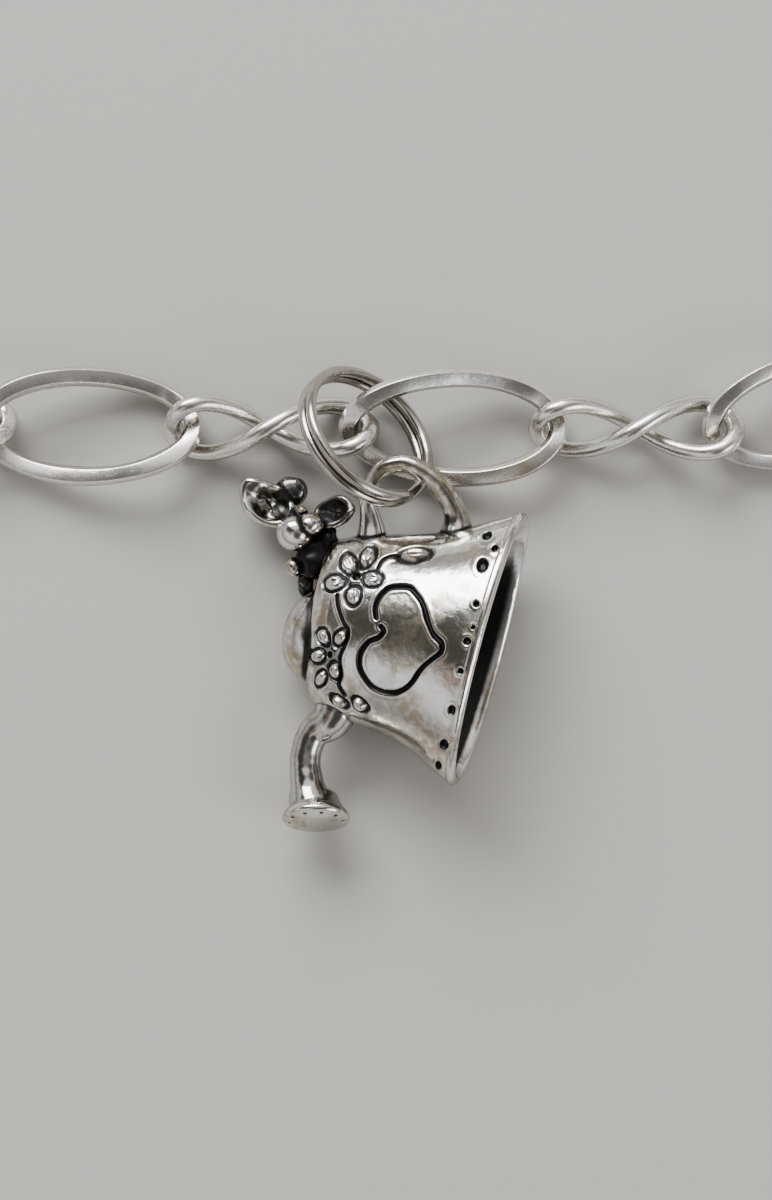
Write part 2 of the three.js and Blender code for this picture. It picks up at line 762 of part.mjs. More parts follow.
// The can lies on its side, so its lower line is level with the surface.
function placedCan() {
  const pitch = Math.atan((CAN_BASE_DEPTH - CAN_NECK_DEPTH) / 2 / CAN_LENGTH);
  const can = piece("watering_can", wateringCan(), OXIDISED_SILVER);
  can.rotation.set(0, -pitch, rad(CAN_TURN), "ZYX");
  can.position.set(...CAN_AT, (CAN_NECK_DEPTH / 2) * Math.cos(pitch));
  return can;
}

const laid = new THREE.Group();
laid.add(chain(), placedSplitRing(), placedCan());

// The part's origin is on the surface, under the middle of the whole bracelet.
const reach = new THREE.Box3().setFromObject(laid, true);
const middle = reach.getCenter(new THREE.Vector3());
laid.position.set(-middle.x, -middle.y, -reach.min.z);

const bracelet = new THREE.Group();
bracelet.add(laid);

export default bracelet;
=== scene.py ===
# %% [markdown]
# # A silver charm bracelet with a cast watering can
# This lesson dresses a bracelet whose links, rings and charm already have their places. The frame
# holds a plain solid for each of them. They could be rendered as they are, but their wires have six
# sides and their ornament is coarse. So each step measures a solid and lays a finer mesh over it:
# bevelled flat wire for the ovals, round wire for the crossed links, and a cast, blackened and
# polished watering can for the charm.

# %% Load the frame
import math

import bmesh
import bpy
import numpy as np
from mathutils import Matrix, Vector
from mathutils.kdtree import KDTree


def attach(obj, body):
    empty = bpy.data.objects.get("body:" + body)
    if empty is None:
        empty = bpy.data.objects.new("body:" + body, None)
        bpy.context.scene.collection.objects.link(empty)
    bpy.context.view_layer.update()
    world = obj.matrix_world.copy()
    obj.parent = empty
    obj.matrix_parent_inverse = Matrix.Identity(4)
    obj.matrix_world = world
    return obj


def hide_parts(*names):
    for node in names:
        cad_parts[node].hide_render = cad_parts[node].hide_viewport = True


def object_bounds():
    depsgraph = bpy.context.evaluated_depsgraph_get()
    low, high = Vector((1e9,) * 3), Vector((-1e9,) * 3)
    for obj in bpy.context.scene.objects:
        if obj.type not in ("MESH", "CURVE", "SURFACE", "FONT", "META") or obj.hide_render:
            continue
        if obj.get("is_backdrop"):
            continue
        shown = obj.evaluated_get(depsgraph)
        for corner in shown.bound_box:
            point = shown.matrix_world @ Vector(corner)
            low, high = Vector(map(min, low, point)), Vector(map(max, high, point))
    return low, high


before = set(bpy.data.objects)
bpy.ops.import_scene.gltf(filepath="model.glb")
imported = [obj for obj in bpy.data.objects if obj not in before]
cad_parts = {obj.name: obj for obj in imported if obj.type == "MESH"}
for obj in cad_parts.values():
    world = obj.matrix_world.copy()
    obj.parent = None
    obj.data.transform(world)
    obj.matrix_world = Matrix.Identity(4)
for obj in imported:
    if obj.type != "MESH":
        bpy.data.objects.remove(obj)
box_before = [list(corner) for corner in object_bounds()]
print("frame nodes", len(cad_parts), "box", box_before)

# %% [markdown]
# ## Millimetres
# Jewellery is measured in millimetres and the frame is in metres. The objects could be scaled, but a
# scale left on an object also scales its texture. So the numbers below are all in millimetres, and
# each mesh is scaled once, when it is made. A node's vertices say where it lies.

# %% Units and places
MM = 0.001
OVAL_COUNT = 11
EIGHT_COUNT = 10
random = np.random.default_rng(11)


def unit(vectors):
    return vectors / np.linalg.norm(vectors, axis=-1, keepdims=True)


def node_points(name):
    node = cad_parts[name]
    points = np.array([node.matrix_world @ v.co for v in node.data.vertices])
    return points / MM


def box_middle(points):
    return (points.min(axis=0) + points.max(axis=0)) / 2


oval_nodes = [f"oval_link_{i}" for i in range(1, OVAL_COUNT + 1)]
charm_link = box_middle(node_points("oval_link_6"))
loop_middle = np.mean([box_middle(node_points(node)) for node in oval_nodes], axis=0)
print("charm link at", charm_link.round(2), "loop middle", loop_middle.round(2))

# %% [markdown]
# ## Shader arithmetic
# Silver has few colours and many masks: worn here, black there. Each mask could be wired by hand in
# the shader editor, but a finish is easier to read and to change as a formula. A small class wraps
# one socket and lets it be added, subtracted and multiplied like a number.

# %% Sockets as numbers
class Term:
    """One socket of a shader, used in ordinary arithmetic."""

    def __init__(self, graph, socket):
        self.graph = graph
        self.socket = socket

    def math(self, operation, first, second):
        return self.graph.node("ShaderNodeMath", {"operation": operation}, {0: first, 1: second})

    def __add__(self, other):
        return self.math("ADD", self, other)

    def __sub__(self, other):
        return self.math("SUBTRACT", self, other)

    def __rsub__(self, other):
        return self.math("SUBTRACT", other, self)

    def __mul__(self, other):
        return self.math("MULTIPLY", self, other)

    __radd__ = __add__
    __rmul__ = __mul__

    def highest(self, other):
        return self.math("MAXIMUM", self, other)

    def rise(self, start, end):
        """0 below start, 1 above end and a smooth step between."""
        settings = {"interpolation_type": "SMOOTHSTEP"}
        values = {0: self, 1: start, 2: end, 3: 0.0, 4: 1.0}
        return self.graph.node("ShaderNodeMapRange", settings, values)


print("a term can be added, subtracted and multiplied")

# %% [markdown]
# ## Nodes
# Every other node comes from one method: its kind, its settings and then its sockets. Colours can't
# go through a Math node, which would turn them grey, so they have a blend of their own.

# %% Graphs
class Graph:
    """The nodes of a material or of the sky."""

    def __init__(self, owner):
        owner.use_nodes = True
        self.owner = owner
        self.tree = owner.node_tree
        self.tree.nodes.clear()

    def node(self, kind, settings, values, output=0):
        made = self.tree.nodes.new(kind)
        for setting, value in settings.items():
            setattr(made, setting, value)
        for key, value in values.items():
            if isinstance(value, Term):
                self.tree.links.new(value.socket, made.inputs[key])
            else:
                made.inputs[key].default_value = value
        return Term(self, made.outputs[output]) if made.outputs else None

    def blend(self, factor, first, second):
        return self.node("ShaderNodeMix", {"data_type": "RGBA"}, {0: factor, 6: first, 7: second}, 2)

    def finish(self, output, shader):
        self.node(output, {}, {0: shader})
        print(self.owner.name, "uses", len(self.tree.nodes), "nodes")


def grey(level, warmth=0.0):
    return (level * (1 + warmth), level, level * (1 - warmth), 1.0)


print("a warm grey", grey(0.5, 0.05))

# %% [markdown]
# ## The terms of a finish
# All the finishes here are cloudy, scratched or stained, so they share a few terms: noise measured
# in waves to a millimetre, a mask stored on the mesh, and a mask that rises where a surface faces
# up. A pale floor shines into every underside, so that last mask paints shade there, colouring
# each finish darker on sides and undersides. Painted masks would be an alternative, and much more work.

# %% Looks
class Look(Graph):
    """A finish: a material and the terms that its formula uses."""

    def __init__(self, name):
        super().__init__(bpy.data.materials.new(name))
        self.name = name
        place = self.node("ShaderNodeTexCoord", {}, {}, "Object")
        to_millimetres = {0: place, "Scale": 1 / MM}
        self.place = self.node("ShaderNodeVectorMath", {"operation": "SCALE"}, to_millimetres)

    def mask(self, name):
        return self.node("ShaderNodeAttribute", {"attribute_name": name}, {}, "Fac")

    def noise(self, scale, detail=3.0, stretch=None):
        """Noise between 0 and 1, with its scale in waves to a millimetre."""
        place = self.place
        if stretch:
            place = self.node("ShaderNodeVectorMath", {"operation": "MULTIPLY"}, {0: place, 1: stretch})
        return self.node("ShaderNodeTexNoise", {}, {"Vector": place, "Scale": scale, "Detail": detail})

    def facing_up(self):
        """0 on undersides and sides, rising to 1 where the surface faces up."""
        normal = self.node("ShaderNodeNewGeometry", {}, {}, "Normal")
        return self.node("ShaderNodeSeparateXYZ", {}, {0: normal}, "Z").rise(-0.1, 0.62)

    def near(self, point, reach):
        """1 at a point, falling to 0 at a distance."""
        places = {0: self.place, 1: point}
        away = self.node("ShaderNodeVectorMath", {"operation": "DISTANCE"}, places, "Value")
        return 1 - away.rise(0.0, reach)

    def surface(self, colour, metallic, roughness, height):
        """The shader itself, with a height in millimetres as its bump."""
        bump = self.node("ShaderNodeBump", {}, {"Strength": 1.0, "Distance": MM, "Height": height})
        values = {"Base Color": colour, "Metallic": metallic, "Roughness": roughness, "Normal": bump}
        self.finish("ShaderNodeOutputMaterial", self.node("ShaderNodeBsdfPrincipled", {}, values))
        return self


print("terms of a finish:", [name for name in vars(Look) if not name.startswith("_")])

# %% [markdown]
# ## Bright silver for the chain
# The links are drawn wire, soldered and tumbled: bright, with faint hair scratches, small pits and
# a breath of yellow tarnish where fingers don't polish it. One link carries a small golden stain. A
# plain metal of one roughness would look like new plastic chrome, so the noise works twice, once
# in the colour and once in the roughness, and the slow bump bends the reflections like real wire.

# %% Bright silver
GOLDEN_STAIN_AT = (6.35, -13.35, 1.3)
GOLDEN_STAIN_REACH = 1.25
GOLD = (0.86, 0.67, 0.3, 1.0)
PIT_SHADE = (0.5, 0.46, 0.36, 1.0)
CHAIN_PAINTED_SHADE = (0.3, 0.28, 0.25, 1.0)
ALONG_A_SCRATCH = (1.0, 12.0, 1.0)


def bright_silver():
    look = Look("bright_silver")
    cloud = look.noise(0.45, 2.0)
    pits = look.noise(9.0, 3.0)
    hair = look.noise(2.0, 2.0, ALONG_A_SCRATCH).rise(0.62, 0.74)
    shade = look.blend(cloud.rise(0.35, 0.7), grey(0.96, 0.03), grey(0.85, 0.065))
    shade = look.blend(0.55 * pits.rise(0.54, 0.68), shade, PIT_SHADE)
    # Painted shade: sides and undersides of the links take a darker colour than faces that look up.
    shade = look.blend(look.facing_up(), CHAIN_PAINTED_SHADE, shade)
    stain = look.near(GOLDEN_STAIN_AT, GOLDEN_STAIN_REACH) * look.noise(1.6).rise(0.4, 0.6)
    colour = look.blend(stain, shade, GOLD)
    roughness = 0.18 + 0.12 * cloud + 0.06 * hair + 0.08 * pits.rise(0.5, 0.75)
    height = 0.012 * look.noise(1.6, 2.0) + 0.0008 * pits - 0.0008 * hair
    return look.surface(colour, 1.0, roughness, height)


BRIGHT = bright_silver()

# %% [markdown]
# ## Warm silver for the split ring
# The ring is springy wire of a harder alloy. It is greyer and warmer than the links, and the coils
# rub each other, so it shows more wear along its length. It could share the chain's material with
# another tint, but its wear is of another kind, so it has a formula of its own.

# %% Warm silver
RING_PAINTED_SHADE = (0.16, 0.14, 0.11, 1.0)


def warm_silver():
    look = Look("warm_silver")
    cloud = look.noise(0.5, 2.0)
    rubbed = look.noise(4.0, 3.0).rise(0.42, 0.7)
    colour = look.blend(cloud.rise(0.3, 0.7), grey(0.56, 0.05), grey(0.42, 0.1))
    # Painted shade: sides and undersides of the ring take a darker colour than faces that look up.
    colour = look.blend(look.facing_up(), RING_PAINTED_SHADE, colour)
    roughness = 0.13 + 0.07 * rubbed + 0.06 * cloud
    height = 0.008 * look.noise(1.4, 2.0) + 0.0003 * rubbed
    return look.surface(colour, 1.0, roughness, height)


WARM = warm_silver()

# %% [markdown]
# ## Oxidised silver for the charm
# The charm is cast, dipped until it is black all over and then polished, so the black stays only
# where the polishing wheel can't reach. Blender could find the hollows by itself with an ambient
# occlusion node, but that is slow and can't tell a drawn groove from a corner. Instead each mesh
# below carries a mask named oxide, high in its grooves and close to its neighbours. Where the mask
# is slight the silver is only dull, and where it is high it is black. Noise breaks the edge.

# %% Oxidised silver
BLACK_OXIDE = (0.012, 0.011, 0.011, 1.0)
DULL_OXIDE = (0.085, 0.083, 0.08, 1.0)
BROWN_FILM = (0.47, 0.41, 0.31, 1.0)
CHARM_PAINTED_SHADE = (0.26, 0.235, 0.2, 1.0)


def oxidised_silver():
    look = Look("oxidised_silver")
    ragged = look.noise(5.0, 4.0)
    oxide = look.mask("oxide")
    black = (oxide + 0.35 * (ragged - 0.5)).rise(0.5, 0.74)
    dull = (oxide + 0.12 * (ragged - 0.5)).rise(0.06, 0.55)
    cloud = look.noise(0.55, 3.0)
    film = cloud.rise(0.4, 0.64) * look.noise(2.6, 4.0).rise(0.3, 0.58)
    polished = look.blend(film, grey(0.84, 0.015), BROWN_FILM)
    # Painted shade: sides and undersides of the charm take a darker colour than faces that look up.
    polished = look.blend(look.facing_up(), CHARM_PAINTED_SHADE, polished)
    polished = look.blend(0.88 * dull, polished, DULL_OXIDE)
    specks = look.noise(7.0, 3.0).rise(0.68, 0.76) * film
    colour = look.blend(black.highest(0.7 * specks), polished, BLACK_OXIDE)
    metallic = 1 - 0.4 * black
    roughness = 0.08 + 0.14 * film + 0.2 * black + 0.07 * look.noise(3.5)
    dents = 0.03 * look.noise(0.8, 2.0) + 0.008 * look.noise(3.0, 2.0)
    height = dents + 0.002 * look.noise(14.0, 2.0)
    return look.surface(colour, metallic, roughness, height)


OXIDISED = oxidised_silver()

# %% [markdown]
# ## Curves
# Nearly everything on a bracelet is wire or a cast lump, and both start from curves. Blender's own
# curve objects could draw them, but numpy arrays are easier to measure and to bend, and the same
# smooth functions also shape thickness and masks. Handmade wire is never quite even, so a ripple
# of a few slow waves goes into its thickness.

# %% Curves
def smooth_through(stations, values):
    """A smooth function through values at rising stations."""
    stations = np.asarray(stations, float)
    values = np.asarray(values, float)
    slopes = np.gradient(values, stations, axis=0)

    def at(where):
        where = np.clip(np.asarray(where, float), stations[0], stations[-1])
        i = np.clip(np.searchsorted(stations, where, side="right") - 1, 0, len(stations) - 2)
        width = stations[i + 1] - stations[i]
        t = (where - stations[i]) / width
        if values.ndim == 2:
            t, width = t[..., None], width[..., None]
        start = (1 + 2 * t) * (1 - t) ** 2 * values[i] + t * (1 - t) ** 2 * width * slopes[i]
        end = t * t * (3 - 2 * t) * values[i + 1] + t * t * (t - 1) * width * slopes[i + 1]
        return start + end

    return at


def curve_through(points, count):
    """Points along a smooth curve through a few, evenly by distance."""
    points = np.asarray(points, float)
    lengths = np.linalg.norm(np.diff(points, axis=0), axis=1)
    stations = np.concatenate([[0], np.cumsum(lengths)])
    return smooth_through(stations, points)(np.linspace(0, stations[-1], count))


def smooth_step(values, start, end):
    t = np.clip((np.asarray(values, float) - start) / (end - start), 0, 1)
    return t * t * (3 - 2 * t)


def any_phase(turn=6.28):
    return random.uniform(0, turn)


def ripple(count, waves=(2, 9), closed=True):
    """Slow unevenness between about -1 and 1 along a wire."""
    along = np.linspace(0, 2 * np.pi, count, endpoint=not closed)
    total = np.zeros(count)
    for wave in range(*waves):
        total += np.sin(wave * along + any_phase(2 * np.pi)) / math.sqrt(waves[1] - waves[0])
    return total


print("a quarter up a smooth step:", smooth_step(0.25, 0, 1))

# %% [markdown]
# ## Grids
# A wire and a lump are both a stack of rings, so one grid of faces serves them all. Its points stay
# a table of rows and columns until the end, which makes it easy to press ornament into them. A fan
# of triangles closes each end.

# %% Grids
def grid_faces(rows, columns, rows_close=False):
    """Faces of a grid whose columns close into rings."""
    last = rows if rows_close else rows - 1
    r, c = np.meshgrid(np.arange(last), np.arange(columns), indexing="ij")
    below, right = (r + 1) % rows, (c + 1) % columns
    corners = [r * columns + c, r * columns + right, below * columns + right, below * columns + c]
    return np.stack(corners, axis=-1).reshape(-1, 4).tolist()


def with_poles(rings):
    """A closed skin over rings of points, with a fan at each end."""
    rows, columns = rings.shape[:2]
    points = np.vstack([rings.reshape(-1, 3), rings[0].mean(axis=0), rings[-1].mean(axis=0)])
    faces = grid_faces(rows, columns)
    first, final, low = rows * columns, rows * columns + 1, (rows - 1) * columns
    for c in range(columns):
        after = (c + 1) % columns
        faces.append([first, after, c])
        faces.append([final, low + c, low + after])
    return points, faces


def joined(shapes):
    """Several skins as one list of points and faces."""
    points, faces, start = [], [], 0
    for shape_points, shape_faces in shapes:
        points.append(shape_points)
        faces += [[start + i for i in face] for face in shape_faces]
        start += len(shape_points)
    return np.vstack(points), faces


print("a tube of 4 rings of 6 has", len(grid_faces(4, 6)), "faces")

# %% [markdown]
# ## Wires
# A wire is a section carried along a path. A curve object with a bevel would do it too, but here the
# section may lean, swell and change along the way, and its second direction stays as near to
# upright as it can, as hammered wire does when it lies flat on the bench.

# %% Wires
END_SHAPE = [(0.93, 0.2), (0.72, 0.38), (0.3, 0.48)]


def rounded_end(rings, tangent, end):
    """Shrinking rings past an end of a wire, each a share of its size and a reach in radii."""
    middle = rings[end].mean(axis=0)
    spokes = rings[end] - middle
    radius = np.linalg.norm(spokes, axis=1).mean()
    outward = tangent[end] * (1 if end else -1)
    made = [middle + spokes * share + outward * reach * radius for share, reach in END_SHAPE]
    return np.array(made if end else made[::-1])


def sweep(path, outline, sizes=1.0, closed=True):
    """A section carried along a path, with one size or a size for each step."""
    tangent = np.roll(path, -1, 0) - np.roll(path, 1, 0) if closed else np.gradient(path, axis=0)
    tangent = unit(tangent)
    across = unit(np.cross((0, 0, 1), tangent))
    tall = np.cross(tangent, across)
    outline = np.broadcast_to(outline, (len(path),) + np.shape(outline)[-2:])
    outline = outline * np.broadcast_to(sizes, len(path))[:, None, None]
    rings = path[:, None] + outline[..., :1] * across[:, None] + outline[..., 1:] * tall[:, None]
    if closed:
        return rings.reshape(-1, 3), grid_faces(*rings.shape[:2], rows_close=True)
    ends = [rounded_end(rings, tangent, end) for end in (0, -1)]
    return with_poles(np.concatenate([ends[0], rings, ends[1]]))


def round_outline(across, tall, sides):
    angle = np.linspace(0, 2 * np.pi, sides, endpoint=False)
    return np.stack([across / 2 * np.cos(angle), tall / 2 * np.sin(angle)], axis=1)


def soft_corners(corners, radius, steps=4):
    """A polygon with a small arc at each corner."""
    corners = np.asarray(corners, float)
    made = []
    for i, corner in enumerate(corners):
        start = corner + unit(corners[i - 1] - corner) * radius
        end = corner + unit(corners[(i + 1) % len(corners)] - corner) * radius
        for t in np.linspace(0, 1, steps):
            made.append((1 - t) ** 2 * start + 2 * t * (1 - t) * corner + t * t * end)
    return np.array(made)


print("a round section of 18 sides is", round(np.ptp(round_outline(1, 1, 18)[:, 0]), 2), "across")

# %% [markdown]
# ## Pebbles
# Buds, stems and the hood are cast lumps. A sphere with a displace modifier would look alike, but
# here every lump gets its own slow swelling and fine roughness while its points are worked out.

# %% Pebbles
LUMP_WAVES = 5
LUMP_SUM = 2.2
SLOW_LUMPS = 2.6
FINE_LUMPS = 8.5


def turned(points, turn, tilt=0.0):
    """Points turned about Z after a tilt about Y, in degrees."""
    rotation = Matrix.Rotation(math.radians(turn), 3, "Z") @ Matrix.Rotation(math.radians(tilt), 3, "Y")
    return points @ np.array(rotation).T


def pebble(radii, centre, turn=0.0, lumps=0.0, rough=0.0, rows=30, columns=44):
    """A lump, with a slight unevenness of its own."""
    polar = np.linspace(0.04, np.pi - 0.04, rows)[:, None]
    around = np.linspace(0, 2 * np.pi, columns, endpoint=False)[None]
    x, y = np.sin(polar) * np.cos(around), np.sin(polar) * np.sin(around)
    ways = np.stack([x, y, np.cos(polar) + 0 * around], axis=-1)
    swell = np.ones(ways.shape[:2])
    for _ in range(LUMP_WAVES):
        for size, wave in ((lumps, SLOW_LUMPS), (rough, FINE_LUMPS)):
            axis = unit(random.normal(size=3))
            swell += size * np.sin(wave * (ways @ axis) + any_phase()) / LUMP_SUM
    points, faces = with_poles(ways * swell[..., None] * np.asarray(radii))
    return turned(points, turn) + np.asarray(centre), faces


print("X turned by 90 degrees points to", turned(np.array([1.0, 0.0, 0.0]), 90).round(2))

# %% [markdown]
# ## Pieces
# Each mesh becomes an object that rides on the frame and takes the place of one of its nodes. The
# lists of faces could be wound either way, so Blender turns all the normals outward. Masks are
# stored on the points, where the material reads them.

# %% Pieces
made_faces = {}


def make_piece(name, shape, look, stands_for, masks=None):
    """A mesh that rides on the frame in place of one of its nodes."""
    points, faces = shape
    mesh = bpy.data.meshes.new(name)
    mesh.from_pydata((points * MM).tolist(), [], faces)
    shell = bmesh.new()
    shell.from_mesh(mesh)
    bmesh.ops.recalc_face_normals(shell, faces=shell.faces)
    shell.to_mesh(mesh)
    shell.free()
    mesh.shade_smooth()
    for mask, values in (masks or {}).items():
        mesh.attributes.new(mask, "FLOAT", "POINT").data.foreach_set("value", values.astype(np.float32))
    mesh.materials.append(look.owner)
    made = bpy.data.objects.new(name, mesh)
    bpy.context.collection.objects.link(made)
    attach(made, "root")
    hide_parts(stands_for)
    made_faces[name] = sum(len(face) - 2 for face in faces)


print("pieces so far", len(made_faces))

# %% [markdown]
# ## Where a link lies
# Ovals and crossed links look the same after half a turn about any of their axes. Their places could
# be copied by hand, but the spread of a node's vertices already gives its axes: the widest spread
# is its length, the least its depth.

# %% Axes of a link
def link_axes(name):
    """The middle of a link, and its length, width and depth directions as columns."""
    points = node_points(name)
    middle = points.mean(axis=0)
    _, ways = np.linalg.eigh(np.cov((points - middle).T))
    depth, length = ways[:, 0], ways[:, 2]
    depth = depth * np.sign(depth[2])
    onward = np.cross((0, 0, 1), middle - loop_middle)
    length = length * np.sign(length @ onward)
    return middle, np.stack([length, np.cross(depth, length), depth], axis=1)


def laid(shape, name):
    """A shape moved from its own axes to where its node lies."""
    points, faces = shape
    middle, axes = link_axes(name)
    return points @ axes.T + middle, faces


print("the charm's link runs along", link_axes("oval_link_6")[1][:, 0].round(2))

# %% [markdown]
# ## Oval links
# The ovals are flat wire with bevelled edges, bent into a long ring that closes to a soft point at
# each end. A torus squeezed in one direction would have a round section and a blunt end, so the
# wire is swept instead. Light hammering makes the flat face catch the light in short stretches.
# Each ring is twisted a little, which lets it pass over one neighbour and under the other.

# %% Oval links
OVAL_HALF_LENGTH = 4.75
OVAL_HALF_WIDTH = 2.26
OVAL_TWIST = 0.58
OVAL_POINT = 0.05
OVAL_LEAN = -0.13
OVAL_STEPS = 168
FLAT_FACE_AT = 0.3
HAMMER_DEPTH = 0.013
OVAL_UNEVENNESS = 0.03
OVAL_CORNERS = [(-0.45, 0), (-0.29, -0.36), (0.29, -0.36), (0.45, 0), (0.29, 0.36), (-0.29, 0.36)]
OVAL_SECTION = soft_corners(OVAL_CORNERS, 0.05)


def oval_link():
    angle = np.linspace(0, 2 * np.pi, OVAL_STEPS, endpoint=False)
    narrow = 1 - OVAL_POINT * np.cos(angle) ** 6
    x = OVAL_HALF_LENGTH * np.cos(angle)
    y = OVAL_HALF_WIDTH * np.sin(angle) * narrow
    path = np.stack([x, y, -OVAL_TWIST * np.sin(2 * angle)], axis=1)
    section = np.repeat(OVAL_SECTION[None], OVAL_STEPS, axis=0)
    face = section[..., 1] > FLAT_FACE_AT
    section[..., 1] += HAMMER_DEPTH * face * ripple(OVAL_STEPS, (5, 16))[:, None]
    section[..., 0] *= 1 + OVAL_UNEVENNESS * ripple(OVAL_STEPS)[:, None]
    section[..., 1] += OVAL_LEAN * section[..., 0] * (section[..., 1] > 0)
    return sweep(path, section)


for i, node in enumerate(oval_nodes, 1):
    make_piece(f"oval_{i}", laid(oval_link(), node), BRIGHT, node)
print("ovals", made_faces["oval_1"], "triangles each")

# %% [markdown]
# ## Crossed links
# Round wire crosses itself at the middle of each figure-eight link. A ring could be twisted with a
# modifier, but a sine of twice the angle draws the eight directly, and a sine of three times the
# angle lifts one arm over the other. The ends are a touch fuller, because the solder flows there.

# %% Figure-eight links
EIGHT_HALF_LENGTH = 4.5
EIGHT_HALF_WIDTH = 1.06
EIGHT_FULLNESS = 0.06
EIGHT_WIRE = 0.77
EIGHT_STEPS = 200
CROSSING_RISE = 0.15
ARM_RISE = 0.8
SOLDER_SWELL = 0.08
WIRE_SIDES = 18


def eight_link():
    angle = np.linspace(0, 2 * np.pi, EIGHT_STEPS, endpoint=False)
    fuller = (np.cos(angle) + EIGHT_FULLNESS * np.cos(3 * angle)) / (1 + EIGHT_FULLNESS)
    y = EIGHT_HALF_WIDTH * np.sin(2 * angle)
    z = -CROSSING_RISE * np.sin(angle) - ARM_RISE * np.sin(3 * angle)
    path = np.stack([EIGHT_HALF_LENGTH * fuller, y, z], axis=1)
    solder = SOLDER_SWELL * np.clip(np.cos(angle), 0, 1) ** 6
    sizes = 1 + solder + 0.012 * ripple(EIGHT_STEPS)
    return sweep(path, round_outline(EIGHT_WIRE, EIGHT_WIRE, WIRE_SIDES), sizes)


for i in range(1, EIGHT_COUNT + 1):
    node = f"figure_eight_link_{i}"
    make_piece(f"eight_{i}", laid(eight_link(), node), BRIGHT, node)
print("eights", made_faces["eight_1"], "triangles each")

# %% [markdown]
# ## Clasp side
# A plain round jump ring joins the chain to the clasp. The photograph doesn't show this side. A
# lever and a spring could be invented, but a simple closed hoop with a small eye claims less, so
# that is what it is, bent in the same way as the links.

# %% Jump ring and clasp
JUMP_RADIUS = 2.225
JUMP_WIRE = 0.75
JUMP_STEPS = 96
CLASP_HALF_LENGTH = 3.625
CLASP_HALF_WIDTH = 1.925
CLASP_TAPER = 0.16
CLASP_TWIST = 0.75
CLASP_WIRE = 0.95
CLASP_STEPS = 144
EYE_RADIUS = 1.25
EYE_BITE = 0.35
EYE_WIRE = 0.8
EYE_LEAN = math.radians(40)


def jump_ring():
    angle = np.linspace(0, 2 * np.pi, JUMP_STEPS, endpoint=False)
    path = JUMP_RADIUS * np.stack([np.cos(angle), np.sin(angle), 0 * angle], axis=1)
    return sweep(path, round_outline(JUMP_WIRE, JUMP_WIRE, WIRE_SIDES), 1 + 0.01 * ripple(JUMP_STEPS))


def clasp():
    angle = np.linspace(0, 2 * np.pi, CLASP_STEPS, endpoint=False)
    middle = EYE_RADIUS + EYE_BITE / 2
    x = middle + CLASP_HALF_LENGTH * np.cos(angle)
    y = CLASP_HALF_WIDTH * (1 + CLASP_TAPER * np.cos(angle)) * np.sin(angle)
    body = np.stack([x, y, -CLASP_TWIST * np.sin(2 * angle)], axis=1)
    eye_x = middle - CLASP_HALF_LENGTH - EYE_BITE + EYE_RADIUS * (np.cos(angle) - 1)
    rise = EYE_RADIUS * np.sin(angle)
    eye = np.stack([eye_x, rise * math.cos(EYE_LEAN), -rise * math.sin(EYE_LEAN)], axis=1)
    hoop = sweep(body, round_outline(CLASP_WIRE, CLASP_WIRE, 20), 1 + 0.012 * ripple(CLASP_STEPS))
    loop = sweep(eye, round_outline(EYE_WIRE, EYE_WIRE, WIRE_SIDES))
    points, faces = joined([hoop, loop])
    return turned(points, 180), faces


def moved_to_node(shape, node):
    """A shape moved so that its box has the same middle as the node's."""
    points, faces = shape
    return points + box_middle(node_points(node)) - box_middle(points), faces


make_piece("jump_ring_fine", laid(jump_ring(), "jump_ring"), BRIGHT, "jump_ring")
make_piece("clasp_fine", moved_to_node(clasp(), "clasp"), BRIGHT, "clasp")
print("jump ring and clasp", made_faces["jump_ring_fine"], made_faces["clasp_fine"], "triangles")

# %% [markdown]
# ## Split ring
# The ring that carries the charm is a wire coiled nearly twice round. Two rings side by side would
# pass for it from afar, but close up a real one shows its cut ends and the step where the wire
# crosses from one coil to the other, so a single wire makes both turns here.

# %% Split ring
RING_RADIUS = 3.26
RING_WIRE = 0.48
RING_COIL = 0.27
RING_SWEEP = 685
RING_STARTS_AT = -12
RING_STEP = 35
RING_TURN = -52
RING_TILT = -50
RING_STEPS = 380


def split_ring():
    swept = np.linspace(0, RING_SWEEP, RING_STEPS)
    angle = np.radians(RING_STARTS_AT - swept)
    middle = RING_SWEEP / 2
    side = RING_COIL - 2 * RING_COIL * smooth_step(swept, middle - RING_STEP, middle + RING_STEP)
    path = np.stack([RING_RADIUS * np.cos(angle), RING_RADIUS * np.sin(angle), side], axis=1)
    sizes = 1 + 0.01 * ripple(RING_STEPS, closed=False)
    points, faces = sweep(path, round_outline(RING_WIRE, RING_WIRE, WIRE_SIDES), sizes, closed=False)
    turn = Matrix.Rotation(math.radians(RING_TURN), 3, "Z")
    return points @ np.array(turn @ Matrix.Rotation(math.radians(RING_TILT), 3, "X")).T, faces


make_piece("split_ring_fine", moved_to_node(split_ring(), "split_ring"), WARM, "split_ring")
print("split ring", made_faces["split_ring_fine"], "triangles")

# %% [markdown]
# ## The can's own directions
# The can lies on its side, tipped so that its lower wall follows the floor from neck to base. It
# could be modelled where it lies, but every number would then mix its shape with its place. So it
# has its own directions: X runs from the neck to the open base, Y points to the handle and Z up
# through the decorated side.

# %% The can's place
CAN_LENGTH = 7.95
HALF_BASE_WIDTH = 6.28
BASE_DEPTH = 7.0
NECK_DEPTH = 3.95
CAN_TURN = -10.0
CAN_FROM_LINK = (-6.09, -8.69)
CAN_AXIS_HEIGHT = 1.952
CAN_PITCH = math.degrees(math.atan((BASE_DEPTH - NECK_DEPTH) / 2 / CAN_LENGTH))
CAN_MIDDLE = np.array([*(charm_link[:2] + CAN_FROM_LINK), CAN_AXIS_HEIGHT])


def on_can(points):
    """From the can's own directions to where the can lies."""
    return turned(points, CAN_TURN, -CAN_PITCH) + CAN_MIDDLE


print("can pitched", round(CAN_PITCH, 2), "degrees at", CAN_MIDDLE.round(2))

